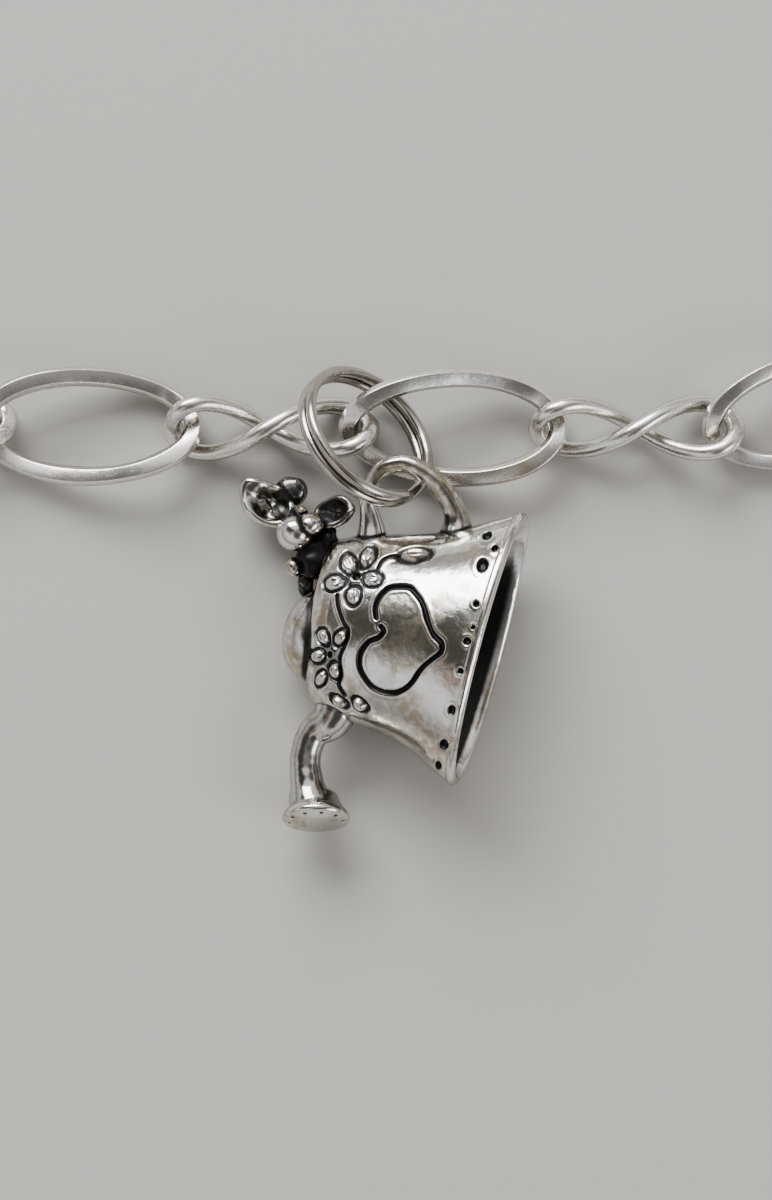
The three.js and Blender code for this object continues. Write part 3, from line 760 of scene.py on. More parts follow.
# %% [markdown]
# ## Wall of the can
# The wall is an oval cone that flares toward its base like a bell. A plain cone would lose the
# flare, so a short table gives half its width at a few places, and its edge leans because the base
# isn't cut square. The decorated side swells a little, which bends its reflections.

# %% Wall
FLARE = [
    (0, 0.494), (0.022, 0.551), (0.108, 0.616), (0.26, 0.667), (0.415, 0.707),
    (0.57, 0.756), (0.717, 0.823), (0.857, 0.916), (1, 1), (1.02, 1.01),
]
FLARE_ALONG, FLARE_WIDTH = zip(*FLARE)
NECK_ROUND_TO = FLARE_ALONG[2]
NECK_ROUND = FLARE_WIDTH[0] / FLARE_WIDTH[2]
UPPER_SWELL = 0.24
NECK_LEAN = -0.035
EDGE_LEAN = 0.125
flare = smooth_through(FLARE_ALONG, FLARE_WIDTH)


def half_width(along):
    return HALF_BASE_WIDTH * flare(along)


def half_depth(along):
    ease = NECK_ROUND + (1 - NECK_ROUND) * np.sqrt(np.clip(along / NECK_ROUND_TO, 0, 1))
    return (NECK_DEPTH + (BASE_DEPTH - NECK_DEPTH) * along) / 2 * ease


def wall(along, angle, inset=0.0):
    """A point of the wall. Angle 0 is the handle's edge and a quarter turn is the upper side."""
    y = (half_width(along) - inset) * np.cos(angle)
    swell = UPPER_SWELL * np.sin(np.pi * np.clip(along, 0, 1)) * np.clip(np.sin(angle), 0, 1) ** 2
    z = (half_depth(along) + swell - inset) * np.sin(angle)
    return np.stack([along * CAN_LENGTH + (NECK_LEAN + EDGE_LEAN * along) * y, y, z], axis=-1)


def upper_side(along, across):
    """Where a share along the can and across its half width lies, seen from above the wall."""
    return wall(np.asarray(along, float), np.arccos(across))[..., :2]


print("half width at the neck and base", half_width(0).round(2), half_width(1).round(2))

# %% [markdown]
# ## The drawing
# A heart, two flowers, a vine with leaves and a row of dots are part of the casting. An image could
# carry them, but an image goes soft when the camera comes close. So they are a few chosen points,
# each a share along the can and a share across its half width, and smooth curves run through them.

# %% Ornament
HEART = [
    (0.387, 0.101), (0.376, 0.193), (0.39, 0.322), (0.43, 0.412), (0.478, 0.438), (0.542, 0.435),
    (0.592, 0.371), (0.644, 0.262), (0.687, 0.14), (0.75, 0.01), (0.805, -0.06), (0.812, -0.1),
    (0.773, -0.172), (0.714, -0.284), (0.668, -0.422), (0.625, -0.508), (0.541, -0.593),
    (0.462, -0.585), (0.392, -0.51), (0.345, -0.406), (0.334, -0.274), (0.371, -0.144),
    (0.426, -0.084), (0.444, -0.027), (0.421, 0.017),
]
VINE = [
    (0.146, 0.297), (0.167, 0.141), (0.212, -0.016), (0.248, -0.081), (0.242, -0.226),
    (0.227, -0.353), (0.239, -0.533), (0.233, -0.646), (0.269, -0.731),
]
STEM = [(0.338, 0.622), (0.35, 0.7), (0.381, 0.743), (0.43, 0.75)]
UPPER_PETALS = [(0.164, 0.659), (0.259, 0.737), (0.32, 0.502), (0.234, 0.302), (0.114, 0.445)]
LOWER_PETALS = [(0.098, -0.211), (0.207, -0.174), (0.2, -0.523), (0.11, -0.659), (0.073, -0.434)]
FLOWERS = [
    {"centre": (0.225, 0.53), "petals": UPPER_PETALS, "size": 1.0},
    {"centre": (0.155, -0.37), "petals": LOWER_PETALS, "size": 0.8},
]
LEAVES = [
    {"place": (0.511, 0.754), "half": (0.62, 0.3), "turn": 12},
    {"place": (0.232, -0.831), "half": (0.38, 0.2), "turn": -20},
    {"place": (0.37, -0.79), "half": (0.4, 0.24), "turn": -32},
]
# Each dot has a share along, a share across and its size.
DOTS = [
    (0.867, 0.829, 0.95), (0.933, 0.709, 0.7), (0.899, 0.588, 1.25), (0.925, 0.298, 0.7),
    (0.94, 0.116, 0.4), (0.93, 0.007, 0.8), (0.94, -0.204, 0.6), (0.935, -0.492, 0.9),
    (0.925, -0.748, 1.05), (0.905, -0.918, 0.8),
]
print("ornament:", len(HEART), "points of the heart,", len(FLOWERS), "flowers,", len(DOTS), "dots")

# %% [markdown]
# ## Cut and raised relief
# Lines like these are cut in the wax before casting. Boolean cuts could copy that, but dozens of
# them on a curved wall are fragile. Here each shape's distance to every point of the wall
# becomes height: a groove is a narrow dip with a slight burr, a petal is a small dome with a groove
# round it. The same distances fill the grooves with oxide.

# %% Relief
BURR_HEIGHT = 0.014
DOT_BURR_HEIGHT = 0.018
DOT_DEPTH = 0.2
GROUND_DEPTH = 0.05
GROUND_BLACK = 0.42
RING_DEPTH = 0.11
RING_BLACK = 0.95
RING_OUT = 0.04
RING_SPREAD = 0.07
VEIN = 0.25


def to_line(points, line):
    """Distance from each point to a line of short straight stretches."""
    nearest = np.full(points.shape[:-1], 9.0)
    for start, end in zip(line[:-1], line[1:]):
        way = end - start
        share = np.clip(((points - start) @ way) / (way @ way), 0, 1)
        away = np.linalg.norm(points - start - share[..., None] * way, axis=-1)
        nearest = np.minimum(nearest, away)
    return nearest


class Relief:
    """Height and oxide that add up over the plane of the upper side."""

    def __init__(self, places):
        self.places = places
        self.height = np.zeros(places.shape[:-1])
        self.oxide = np.zeros(places.shape[:-1])

    def blacken(self, mask):
        self.oxide = np.maximum(self.oxide, mask)

    def groove(self, line, half, depth):
        away = to_line(self.places, line)
        burr = np.exp(-(((away - 1.9 * half) / (0.7 * half)) ** 2))
        self.height -= depth * (1 - smooth_step(away, 0.15 * half, 1.25 * half))
        self.height += BURR_HEIGHT * burr
        self.blacken(1 - smooth_step(away, 0.85 * half, 1.5 * half))

    def petal(self, place, half, turn, rise):
        c, s = math.cos(math.radians(turn)), math.sin(math.radians(turn))
        offset = self.places - place
        u = (offset[..., 0] * c + offset[..., 1] * s) / half[0]
        v = (offset[..., 1] * c - offset[..., 0] * s) / half[1]
        from_middle = np.hypot(u, v)
        ring = np.exp(-((((from_middle - 1) * min(half) - RING_OUT) / RING_SPREAD) ** 2))
        vein = VEIN * np.exp(-((v / VEIN) ** 2))
        self.height += rise * (1 - smooth_step(from_middle, 0.45, 1.1)) * (1 - vein)
        self.height -= RING_DEPTH * ring
        self.oxide *= smooth_step(from_middle, 0.75, 0.95)
        self.blacken(RING_BLACK * ring)

    def ground(self, place, radius):
        """A shallow dip round a flower, which keeps some oxide between the petals."""
        away = np.linalg.norm(self.places - place, axis=-1)
        inside = 1 - smooth_step(away, 0.6 * radius, radius)
        self.height -= GROUND_DEPTH * inside
        self.blacken(GROUND_BLACK * inside)

    def dot(self, place, radius):
        away = np.linalg.norm(self.places - place, axis=-1)
        burr = np.exp(-(((away - 1.6 * radius) / (0.5 * radius)) ** 2))
        self.height -= DOT_DEPTH * (1 - smooth_step(away, 0.5 * radius, 1.2 * radius))
        self.height += DOT_BURR_HEIGHT * burr
        self.blacken(1 - smooth_step(away, 0.9 * radius, 1.35 * radius))


level_line = np.array([[-1.0, 0.0], [1.0, 0.0]])
print("from a line to a point 0.3 above it:", to_line(np.array([[0.0, 0.3]]), level_line))

# %% [markdown]
# ## Cut by hand
# A line that follows its formula exactly looks machined. The points could be shifted one by one, but
# it is simpler to shift the plane that they are drawn on: a few slow waves move it by a few
# hundredths of a millimetre, and every groove and petal becomes slightly uneven with it.

# %% Cut by hand
def wandering(places):
    """The same places, shifted a little, so that a drawn line looks cut by hand."""
    shift = np.zeros(places.shape)
    for wave in (1.6, 2.9, 5.0, 8.5):
        for _ in range(3):
            way = unit(random.normal(size=2)) * wave
            push = unit(random.normal(size=2)) * (0.05 / wave)
            shift += push * np.sin(places @ way + any_phase())[..., None]
    return places + shift


def drawn(shares, count):
    shares = np.asarray(shares, float)
    return curve_through(upper_side(shares[:, 0], shares[:, 1]), count)


PETAL_HALF = np.array([0.45, 0.33])
PETAL_RISE = 0.17
LEAF_RISE = 0.2
FLOWER_EYE = 0.17
FLOWER_GROUND = 0.85
DOT_RADIUS = 0.2
# Each line has its points, its steps, half its width and its depth.
LINES = [(HEART, 90, 0.112, 0.17), (VINE, 50, 0.085, 0.12), (STEM, 16, 0.09, 0.1)]


def ornament(places):
    relief = Relief(wandering(places))
    for shares, count, half, depth in LINES:
        relief.groove(drawn(shares, count), half, depth)
    for flower in FLOWERS:
        middle, size = upper_side(*flower["centre"]), flower["size"]
        relief.ground(middle, FLOWER_GROUND * size)
        for petal in flower["petals"]:
            place = upper_side(*petal)
            way = place - middle
            turn = math.degrees(math.atan2(way[1], way[0]))
            relief.petal(place, PETAL_HALF * size, turn, PETAL_RISE * size)
        relief.dot(middle, FLOWER_EYE * size)
    for leaf in LEAVES:
        relief.petal(upper_side(*leaf["place"]), leaf["half"], leaf["turn"], LEAF_RISE)
    for along, across, size in DOTS:
        relief.dot(upper_side(along, across), DOT_RADIUS * size)
    return relief


print("the heart is drawn with", len(drawn(HEART, 90)), "steps")

# %% [markdown]
# ## The outside of the can
# One grid covers the neck, the outside, the rim, the inside and the floor of the can. An even grid
# fine enough for the ornament would waste most of its points underneath, so its columns crowd on
# the upper side and the lower side gets few. Slow lumps stand for the unevenness of a small casting.

# %% Outside
UPPER_COLUMNS = 270
LOWER_COLUMNS = 50
WALL_ROWS = 228
NECK_ROWS = 8
NECK_ROWS_TO = 0.03
RIM_AT = 0.985
CAST_LUMPS = 14
LUMP_HEIGHT = 0.035
LUMPS_END = (0.93, 0.98)
EDGE_STEP = 0.05
EDGE_STEP_AT = (0.955, 0.965)


def wall_angles():
    upper = np.linspace(0, np.pi, UPPER_COLUMNS, endpoint=False)
    even = np.arccos(np.clip(np.linspace(1, -1, UPPER_COLUMNS), -1, 1))
    upper = 0.6 * upper + 0.4 * even * (1 - 1 / UPPER_COLUMNS)
    lower = np.pi + np.linspace(0, np.pi, LOWER_COLUMNS, endpoint=False)
    return np.concatenate([upper, lower])[None]


def cast_lumps(places):
    """Slow dents and swellings that a small casting keeps."""
    total = np.zeros(places.shape[:-1])
    for _ in range(CAST_LUMPS):
        way = unit(random.normal(size=2)) * random.uniform(0.5, 1.7)
        total += np.sin(places @ way + any_phase()) / 3.7
    return total


def can_outside(angles):
    """The outside with its ornament, and its oxide."""
    neck_rows = np.linspace(0, NECK_ROWS_TO, NECK_ROWS)[:-1]
    rows = np.concatenate([neck_rows, np.linspace(NECK_ROWS_TO, RIM_AT, WALL_ROWS)])[:, None]
    plain = wall(rows, angles)
    outward = unit(np.cross(np.gradient(plain, axis=1), np.gradient(plain, axis=0)))
    outward *= np.sign((outward * (plain * (0, 1, 1))).sum(axis=-1, keepdims=True))
    relief = ornament(plain[..., :2])
    fade = smooth_step(plain[..., 2], 0.0, 0.25) * smooth_step(rows, 0.0, 0.02)
    lumpy = smooth_step(rows, 0.0, 0.1) * (1 - smooth_step(rows, *LUMPS_END))
    height = relief.height * fade + LUMP_HEIGHT * cast_lumps(plain[..., :2]) * lumpy
    height = height + EDGE_STEP * smooth_step(rows, *EDGE_STEP_AT)
    return plain + outward * height[..., None], relief.oxide * fade


print("the wall has", wall_angles().shape[1], "columns")

# %% [markdown]
# ## Rim, hollow and neck
# The base of the can is open, and its lip is rounded and polished. A solidify modifier could give
# the wall its thickness, but it would copy the ornament to the inside as well, so the hollow is a
# smooth wall of its own. No polish reaches into it, so it stays black but for the lit edge.

# %% Rim and hollow
RIM_THICK = 0.42
RIM_BULGE = 0.2
RIM_STEPS = 9
HOLLOW_INSET = 0.46
HOLLOW_FROM, HOLLOW_TO = 0.975, 0.12
HOLLOW_BLACK = 0.78
FLOOR_SHARES = (0.8, 0.5, 0.2)
FLOOR_BLACK = 0.8
NECK_SHARES = (0.2, 0.5, 0.8, 0.94)
NECK_BULGE = -0.22
NECK_BLACK = 0.35


def toward_middle(ring, shares):
    """Smaller copies of a ring round its middle."""
    middle = ring.mean(axis=0)
    return middle + (ring[None] - middle) * np.array(shares)[:, None, None]


def can_rim(angles):
    outer = wall(np.array([[RIM_AT]]), angles)
    inner = wall(np.array([[RIM_AT]]), angles, RIM_THICK)
    turn = np.linspace(0, np.pi, RIM_STEPS)[1:-1, None, None]
    bulge = np.array([RIM_BULGE, 0, 0]) * np.sin(turn)
    rim = (outer + inner) / 2 + (outer - inner) / 2 * np.cos(turn) + bulge
    return rim, np.zeros(rim.shape[:2])


def can_hollow(angles):
    rows = np.linspace(HOLLOW_FROM, HOLLOW_TO, 34)[:, None]
    inside = wall(rows, angles, HOLLOW_INSET)
    deep = np.broadcast_to(smooth_step(1 - rows, 0.02, 0.05), inside.shape[:2])
    near_handle = smooth_step(np.cos(angles), 0.62, 0.9)
    lit = 1 - 0.8 * near_handle * (1 - smooth_step(1 - rows, 0.1, 0.5))
    return inside, HOLLOW_BLACK * deep * lit


def can_body():
    angles = wall_angles()
    outside, oxide = can_outside(angles)
    rim, rim_black = can_rim(angles)
    inside, inside_black = can_hollow(angles)
    floor = toward_middle(inside[-1], FLOOR_SHARES)
    neck_shares = np.array(NECK_SHARES)[:, None, None]
    neck = toward_middle(outside[0], NECK_SHARES) + np.array([NECK_BULGE, 0, 0]) * (1 - neck_shares**2)
    blacks = [np.full(neck.shape[:2], NECK_BLACK), oxide, rim_black, inside_black]
    blacks.append(np.full(floor.shape[:2], FLOOR_BLACK))
    skin = with_poles(np.concatenate([neck, outside, rim, inside, floor]))
    return skin, np.concatenate([np.concatenate(blacks).ravel(), [NECK_BLACK, 0.95]])


print("the hollow is", round((HOLLOW_FROM - HOLLOW_TO) * CAN_LENGTH, 2), "deep")

# %% [markdown]
# ## The hood over the neck
# A plain half-round hood covers part of the neck, where a real can keeps the water from slopping.
# Half a sphere would leave a seam, so a whole pebble is pushed into the neck. Whatever reaches
# into the hollow would show there, so it is flattened or moved into the wall's thickness.

# %% Hood
HOOD_RADII = (1.65, 2.15, 1.65)
HOOD_CENTRE = (0.15, -0.75, 0)
HOOD_ENDS_AT = 0.5
ROOT_DEPTH = 0.25


def can_hood():
    points, faces = pebble(HOOD_RADII, HOOD_CENTRE, lumps=0.02, rows=48, columns=72)
    points[:, 0] = np.minimum(points[:, 0], HOOD_ENDS_AT)
    return points, faces


def out_of_hollow(shape):
    """Feet and roots end inside the wall's thickness, so that none of them shows in the hollow."""
    points, faces = shape
    along = np.clip(points[:, 0] / CAN_LENGTH, 0, 1)
    y_reach, z_reach = half_width(along) - ROOT_DEPTH, half_depth(along) - ROOT_DEPTH
    share = np.hypot(points[:, 1] / y_reach, points[:, 2] / z_reach)
    push = np.where((points[:, 0] > HOOD_ENDS_AT) & (share < 1), 1 / np.maximum(share, 0.2), 1)
    return points * np.stack([np.ones(len(push)), push, push], axis=1), faces


print("the hood sticks out by", round(HOOD_RADII[0] - HOOD_CENTRE[0], 2))

# %% [markdown]
# ## The handle
# A bent rod with feet that spread into the wall, as a wax model's do where they are joined. A torus
# would be too even: this one is thinner on the leg near the neck and has a flat ledge along it, so
# it is a sweep with a table for its thickness.

# %% Handle
HANDLE = [
    (0.04, -0.16), (0, 0.1), (-0.08, 0.61), (0.04, 0.92), (0.27, 1),
    (0.57, 0.84), (0.84, 0.5), (1.0, 0.08), (1.02, -0.2),
]
HANDLE_THICK = [
    (0, 1.6), (0.08, 1.25), (0.18, 0.8), (0.32, 0.74), (0.5, 0.82),
    (0.7, 0.98), (0.86, 1.08), (0.93, 1.35), (1, 1.7),
]
HANDLE_CORNERS = [
    (-0.5, -0.22), (-0.2, -0.5), (0.2, -0.5), (0.5, -0.2),
    (0.47, 0.25), (0.2, 0.5), (-0.22, 0.46), (-0.5, 0.2),
]
HANDLE_STARTS = 1.68
HANDLE_SPAN = 3.79
HANDLE_RISE = 3.15
HANDLE_LIFT = 0.9
HANDLE_STEPS = 130


def can_handle():
    along, rise = np.array(HANDLE).T
    x = HANDLE_STARTS + HANDLE_SPAN * along
    y = half_width(x / CAN_LENGTH) + HANDLE_RISE * rise
    path = curve_through(np.stack([x, y, HANDLE_LIFT * np.clip(rise, 0, None)], axis=1), HANDLE_STEPS)
    thick = smooth_through(*zip(*HANDLE_THICK))(np.linspace(0, 1, HANDLE_STEPS))
    sizes = thick * (1 + 0.015 * ripple(HANDLE_STEPS, closed=False))
    return sweep(path, soft_corners(HANDLE_CORNERS, 0.16), sizes, closed=False)


print("the handle spans", HANDLE_SPAN, "and rises", HANDLE_RISE)

# %% [markdown]
# ## The spout
# The spout bends away from the neck and widens toward the sprinkler head. It could be a straight
# cone, but the real one is a goose neck, so a short table gives its bends and its thickness.

# %% Spout
# Each row has a share across, a share of the reach and a size.
SPOUT = [
    (0.06, -0.1, 1.5), (0, 0.06, 1.36), (-0.137, 0.215, 1.1), (-0.177, 0.434, 1.02),
    (-0.124, 0.665, 1.1), (-0.06, 0.83, 1.42), (-0.015, 0.9, 1.62),
]
SPOUT_STARTS = 1.35
SPOUT_REACH = 4.75
SPOUT_WIRE = 1.36
SPOUT_STEPS = 110
SPOUT_FOOT = -half_width(SPOUT_STARTS / CAN_LENGTH)


def can_spout():
    across, reach, sizes = np.array(SPOUT).T
    y = SPOUT_FOOT - SPOUT_REACH * reach
    path = curve_through(np.stack([SPOUT_STARTS + SPOUT_REACH * across, y, 0 * y], axis=1), SPOUT_STEPS)
    sizes = curve_through(np.stack([y, sizes, 0 * y], axis=1), SPOUT_STEPS)[:, 1]
    sizes = sizes * (1 + 0.012 * ripple(SPOUT_STEPS, closed=False))
    return sweep(path, round_outline(SPOUT_WIRE, SPOUT_WIRE, 40), sizes, closed=False)


print("the spout leaves the wall at", SPOUT_FOOT.round(2))

# %% [markdown]
# ## The rose
# The sprinkler head is called the rose. It is turned like a knob and has a ring of holes in its
# face. Real holes would need a boolean each, so they are pressed into a fine grid and blackened,
# which is how the small casting shows them too.

# %% Rose
ROSE_PROFILE = [
    (0.0, -0.9), (0.4, -0.88), (0.62, -0.74), (0.72, -0.52), (0.85, -0.3), (0.97, -0.14),
    (1.01, -0.02), (0.98, 0.06), (0.88, 0.1), (0.5, 0.17), (0.25, 0.195), (0.0, 0.2),
]
ROSE_RADIUS = 1.5
ROSE_FACE_FROM = 0.08
ROSE_HOLES = 10
ROSE_HOLE_RING = 0.8
ROSE_HOLE_START = 0.1
ROSE_HOLE_DEPTH = 0.1
ROSE_TURN = 14
ROSE_TIP = 160
ROSE_AT = np.array([SPOUT_STARTS + SPOUT_REACH * 0.03, SPOUT_FOOT - SPOUT_REACH, 0])


def can_rose():
    profile = np.array(ROSE_PROFILE)
    rows = curve_through(np.c_[profile, 0 * profile[:, 0]], 96)[1:-1]
    angle = np.linspace(0, 2 * np.pi, 112, endpoint=False)
    r, h = rows[:, :1] * ROSE_RADIUS, rows[:, 1:2] * ROSE_RADIUS + 0 * angle
    ground = np.stack([r * np.cos(angle), r * np.sin(angle)], axis=-1)
    face = h > ROSE_FACE_FROM * ROSE_RADIUS
    black = np.zeros(h.shape)
    for i in range(ROSE_HOLES):
        way = ROSE_HOLE_START + 2 * np.pi * i / ROSE_HOLES
        hole = ROSE_RADIUS * ROSE_HOLE_RING * np.array([math.cos(way), math.sin(way)])
        away = np.linalg.norm(ground - hole, axis=-1)
        h = h - ROSE_HOLE_DEPTH * (1 - smooth_step(away, 0.04, 0.11)) * face
        black = np.maximum(black, 1 - smooth_step(away, 0.06, 0.1)) * face
    points, faces = with_poles(np.stack([ground[..., 0], h, ground[..., 1]], axis=-1))
    turn = Matrix.Rotation(math.radians(ROSE_TURN), 3, "Z")
    facing = turn @ Matrix.Rotation(math.radians(ROSE_TIP), 3, "X")
    return (points @ np.array(facing).T + ROSE_AT, faces), np.concatenate([black.ravel(), [0, 1]])


print("the rose lies at", ROSE_AT.round(2))

# %% [markdown]
# ## Cupped leaves
# Two cupped leaves stand out of the neck. A leaf could be a bent sheet, but these are thick castings
# with a rolled rim. So a profile is turned about the middle, a hollow, a rim and a rounded back, and
# then the outline is drawn out to a tip. The hollows keep their oxide.

# %% Cupped leaves
CUP = [
    (0, -0.2), (0.28, -0.18), (0.46, -0.08), (0.58, 0.08), (0.68, 0.2), (0.8, 0.26), (0.92, 0.2),
    (1.0, 0.03), (0.97, -0.2), (0.8, -0.42), (0.5, -0.56), (0.25, -0.62), (0, -0.63),
]
LEAF_WAVES = 6


def cupped_leaf(length, width, centre, turn, tilt, roll, tip=0.25, shift=0.0, black=(0.6, 0.0)):
    """A leaf, with its hollow shifted along it and its oxide in the hollow and on the rim."""
    rows = curve_through(np.c_[np.array(CUP), np.zeros(len(CUP))], 64)[1:-1]
    angle = np.linspace(0, 2 * np.pi, 96, endpoint=False)
    reach = 1 + tip * np.clip(-np.cos(angle), 0, 1) ** 6
    station = np.linspace(0, 1, len(rows))[:, None] + 0 * angle
    hollow = 1 - smooth_step(station, 0.12, 0.38)
    x = rows[:, :1] * np.cos(angle) * reach * length / 2 / (1 + tip / 2) + shift * length * hollow
    y = rows[:, :1] * np.sin(angle) * width / 2 * (1 + 0.12 * np.sin(2 * angle))
    z = rows[:, 1:2] * width / 2 * (1 + 0.14 * np.sin(3 * angle + 1))
    z = z + 0.08 * x * x / length + 0.05 * np.sin(5 * angle) * rows[:, :1] ** 2
    for _ in range(LEAF_WAVES):
        way = random.normal(size=2) * 2.6
        z = z + (0.03 + 0.085 * hollow) * np.sin(way[0] * x + way[1] * y + any_phase())
    points, faces = with_poles(np.stack([x, y, z], axis=-1))
    masks = black[0] + (black[1] - black[0]) * smooth_step(station, 0.28, 0.4)
    lean = np.array(Matrix.Rotation(math.radians(roll), 3, "X"))
    shape = turned(points @ lean.T, turn, tilt) + np.asarray(centre), faces
    return shape, np.concatenate([masks.ravel(), [black[0], black[1]]])


print("a leaf's profile has", len(CUP), "points")

# %% [markdown]
# ## The sprig at the neck
# Round buds and a tangle of stems fill the neck behind the leaves. Thin stems could be swept one by
# one, but the casting has run them together into dark lumps, so a few overlapping pebbles tell it
# better. Buds are polished, and stems keep nearly all their oxide.

# %% Sprig
FINE = {"rows": 60, "columns": 80}
BUDS = {
    "bud": {"radii": (0.84, 0.84, 0.8), "centre": (-1.58, 3.62, 0.75), "lumps": 0.05},
    "bud_side": {"radii": (0.62, 0.6, 0.6), "centre": (-0.93, 4.12, 0.85), "lumps": 0.06},
    "bud_low": {"radii": (0.42, 0.44, 0.4), "centre": (-1.46, 2.14, 0.24), "lumps": 0.07},
    "bud_tiny": {"radii": (0.24, 0.22, 0.3), "centre": (-1.42, 4.66, 0.75), "lumps": 0.06},
}
# Each stem has its oxide, its radii, its centre, its turn, its lumps, its roughness and its grid.
STEMS = {
    "petal_back": (0.54, (0.74, 0.66, 0.55), (-2.38, 5.44, -0.34), 30, 0.09, 0.02, {}),
    "stem_clump": (0.8, (0.72, 1.1, 0.75), (-0.78, 2.72, 0.0), 0, 0.12, 0.06, FINE),
    "stem_back": (0.75, (0.6, 0.75, 0.5), (-0.35, 3.5, 0.0), -35, 0.12, 0.07, FINE),
    "stem_leaf": (0.6, (1.0, 0.5, 0.45), (-2.2, 4.22, -0.13), -36, 0.1, 0.05, {}),
    "stem_bud": (0.7, (0.7, 0.75, 0.6), (-1.5, 3.75, 0.1), 0, 0.1, 0.05, {}),
    "stem_low": (0.7, (0.34, 0.6, 0.45), (-0.92, 1.5, -0.2), 12, 0.14, 0.06, FINE),
}
LARGE_LEAF = {"length": 2.9, "width": 2.1, "centre": (-3.15, 4.75, 0.15), "turn": -32, "tilt": 8}
SMALL_LEAF = {"length": 2.0, "width": 1.5, "centre": (-0.1, 4.84, 0.3), "turn": 198, "tilt": 6}


def sprig_parts():
    """Each bud, leaf and stem of the sprig, with its oxide."""
    parts = {}
    for name, bud in BUDS.items():
        shape = pebble(**bud)
        parts[name] = (shape, np.zeros(len(shape[0])))
    for name, (black, radii, centre, turn, lumps, rough, grid) in STEMS.items():
        shape = pebble(radii, centre, turn, lumps, rough, **grid)
        parts[name] = (shape, np.full(len(shape[0]), black))
    parts["leaf_large"] = cupped_leaf(**LARGE_LEAF, roll=-14, shift=0.09, black=(0.3, 0.1))
    parts["leaf_small"] = cupped_leaf(**SMALL_LEAF, roll=10, tip=0.1, shift=-0.05, black=(0.85, 0.38))
    return {name: (out_of_hollow(shape), black) for name, (shape, black) in parts.items()}


print("the sprig has", len(BUDS), "buds,", len(STEMS), "stems and 2 leaves")

# %% [markdown]
# ## Oxide between neighbours
# Polish doesn't reach into the corners between pieces either. Painting them by hand would have to be
# done again after every change, so they are measured: for each point of the charm, the distance to
# the nearest point of another of its pieces adds to the oxide mask. The spout and its rose stand
# free and are left out of it.

# %% Oxide between neighbours
USUAL_REACH = 0.42
CLOSE_REACH = {
    "rose": 0.02, "spout": 0.08, "handle": 0.2, "body": 0.3, "leaf_large": 0.16,
    "leaf_small": 0.35, "bud": 0.3, "bud_side": 0.26, "bud_tiny": 0.2, "petal_back": 0.3,
}


def close_to_others(parts, name, reach):
    """1 where another piece of the charm is close, 0 beyond the reach."""
    skipped = {name, "spout", "rose"}
    others = np.vstack([shape[0][::3] for other, (shape, _) in parts.items() if other not in skipped])
    tree = KDTree(len(others))
    for i, point in enumerate(others):
        tree.insert(point, i)
    tree.balance()
    points = parts[name][0][0]
    low, high = others.min(axis=0) - reach, others.max(axis=0) + reach
    inside = ((points > low) & (points < high)).all(axis=1)
    close = np.zeros(len(points))
    for i in np.flatnonzero(inside):
        close[i] = 1 - tree.find(points[i])[2] / reach
    return np.clip(close, 0, 1)


print("oxide reaches", USUAL_REACH, "from a neighbour, but for", len(CLOSE_REACH), "pieces")

# %% [markdown]
# ## Build the charm
# All the parts are made first, since each needs its neighbours for its oxide. They could be fused
# with booleans, but they overlap inside the metal, where nobody can see it, and stay easy to change.
# The hood, handle and spout are a little duller than the body, and the ledge at the handle's wide
# foot is black.

# %% Build the charm
DULLNESS = {"hood": 0.14, "handle": 0.2, "spout": 0.25}
HANDLE_LEDGE_AT = (5.0, 5.3, 0.75)


def small_parts():
    handle, spout = out_of_hollow(can_handle()), out_of_hollow(can_spout())
    shapes = {"hood": can_hood(), "handle": handle, "spout": spout}
    parts = {name: (shape, np.full(len(shape[0]), DULLNESS[name])) for name, shape in shapes.items()}
    ledge = np.linalg.norm(handle[0] - HANDLE_LEDGE_AT, axis=1)
    black_ledge = 1 - smooth_step(ledge, 0.2, 0.45)
    parts["handle"] = (handle, np.maximum(DULLNESS["handle"], black_ledge))
    parts["rose"] = can_rose()
    return parts | sprig_parts()


charm = {"body": can_body()} | small_parts()
for name, (shape, black) in charm.items():
    close = close_to_others(charm, name, CLOSE_REACH.get(name, USUAL_REACH))
    black = np.maximum(black, 0.95 * smooth_step(close, 0.25, 0.8))
    placed = (on_can(shape[0]), shape[1])
    make_piece(f"can_{name}", placed, OXIDISED, "watering_can", {"oxide": black})
print("charm", {name: made_faces[f"can_{name}"] for name in charm})
print("triangles in all", sum(made_faces.values()))

# %% [markdown]
# ## Floor
# The bracelet lies on a plain pale floor. A curved backdrop isn't needed, because the camera looks
# nearly straight down and sees nothing else.

# %% Floor
FLOOR_HALF = 0.6
FLOOR_COLOUR = (0.55, 0.53, 0.495, 1.0)


def pale_floor():
    mesh = bpy.data.meshes.new("floor")
    signs = [(-1, -1), (1, -1), (1, 1), (-1, 1)]
    mesh.from_pydata([(x * FLOOR_HALF, y * FLOOR_HALF, 0) for x, y in signs], [], [(0, 1, 2, 3)])
    look = Look("floor")
    look.surface(FLOOR_COLOUR, 0.0, 0.75, 0.0)
    mesh.materials.append(look.owner)
    made = bpy.data.objects.new("floor", mesh)
    bpy.context.collection.objects.link(made)
    return made


pale_floor()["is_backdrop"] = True

# %% [markdown]
# ## Sky
# Silver shows its surroundings, so the sky matters more than the lamps. A photograph of a studio
# could be wrapped round the scene, but a few soft patches are enough and easy to move: light from
# above that fades toward the horizon, a darker patch overhead where the viewer leans in, a few dark
# and warm ones for the things that stand in a room, and one bright window.

# %% Sky
HORIZON = grey(0.3, 0.05)
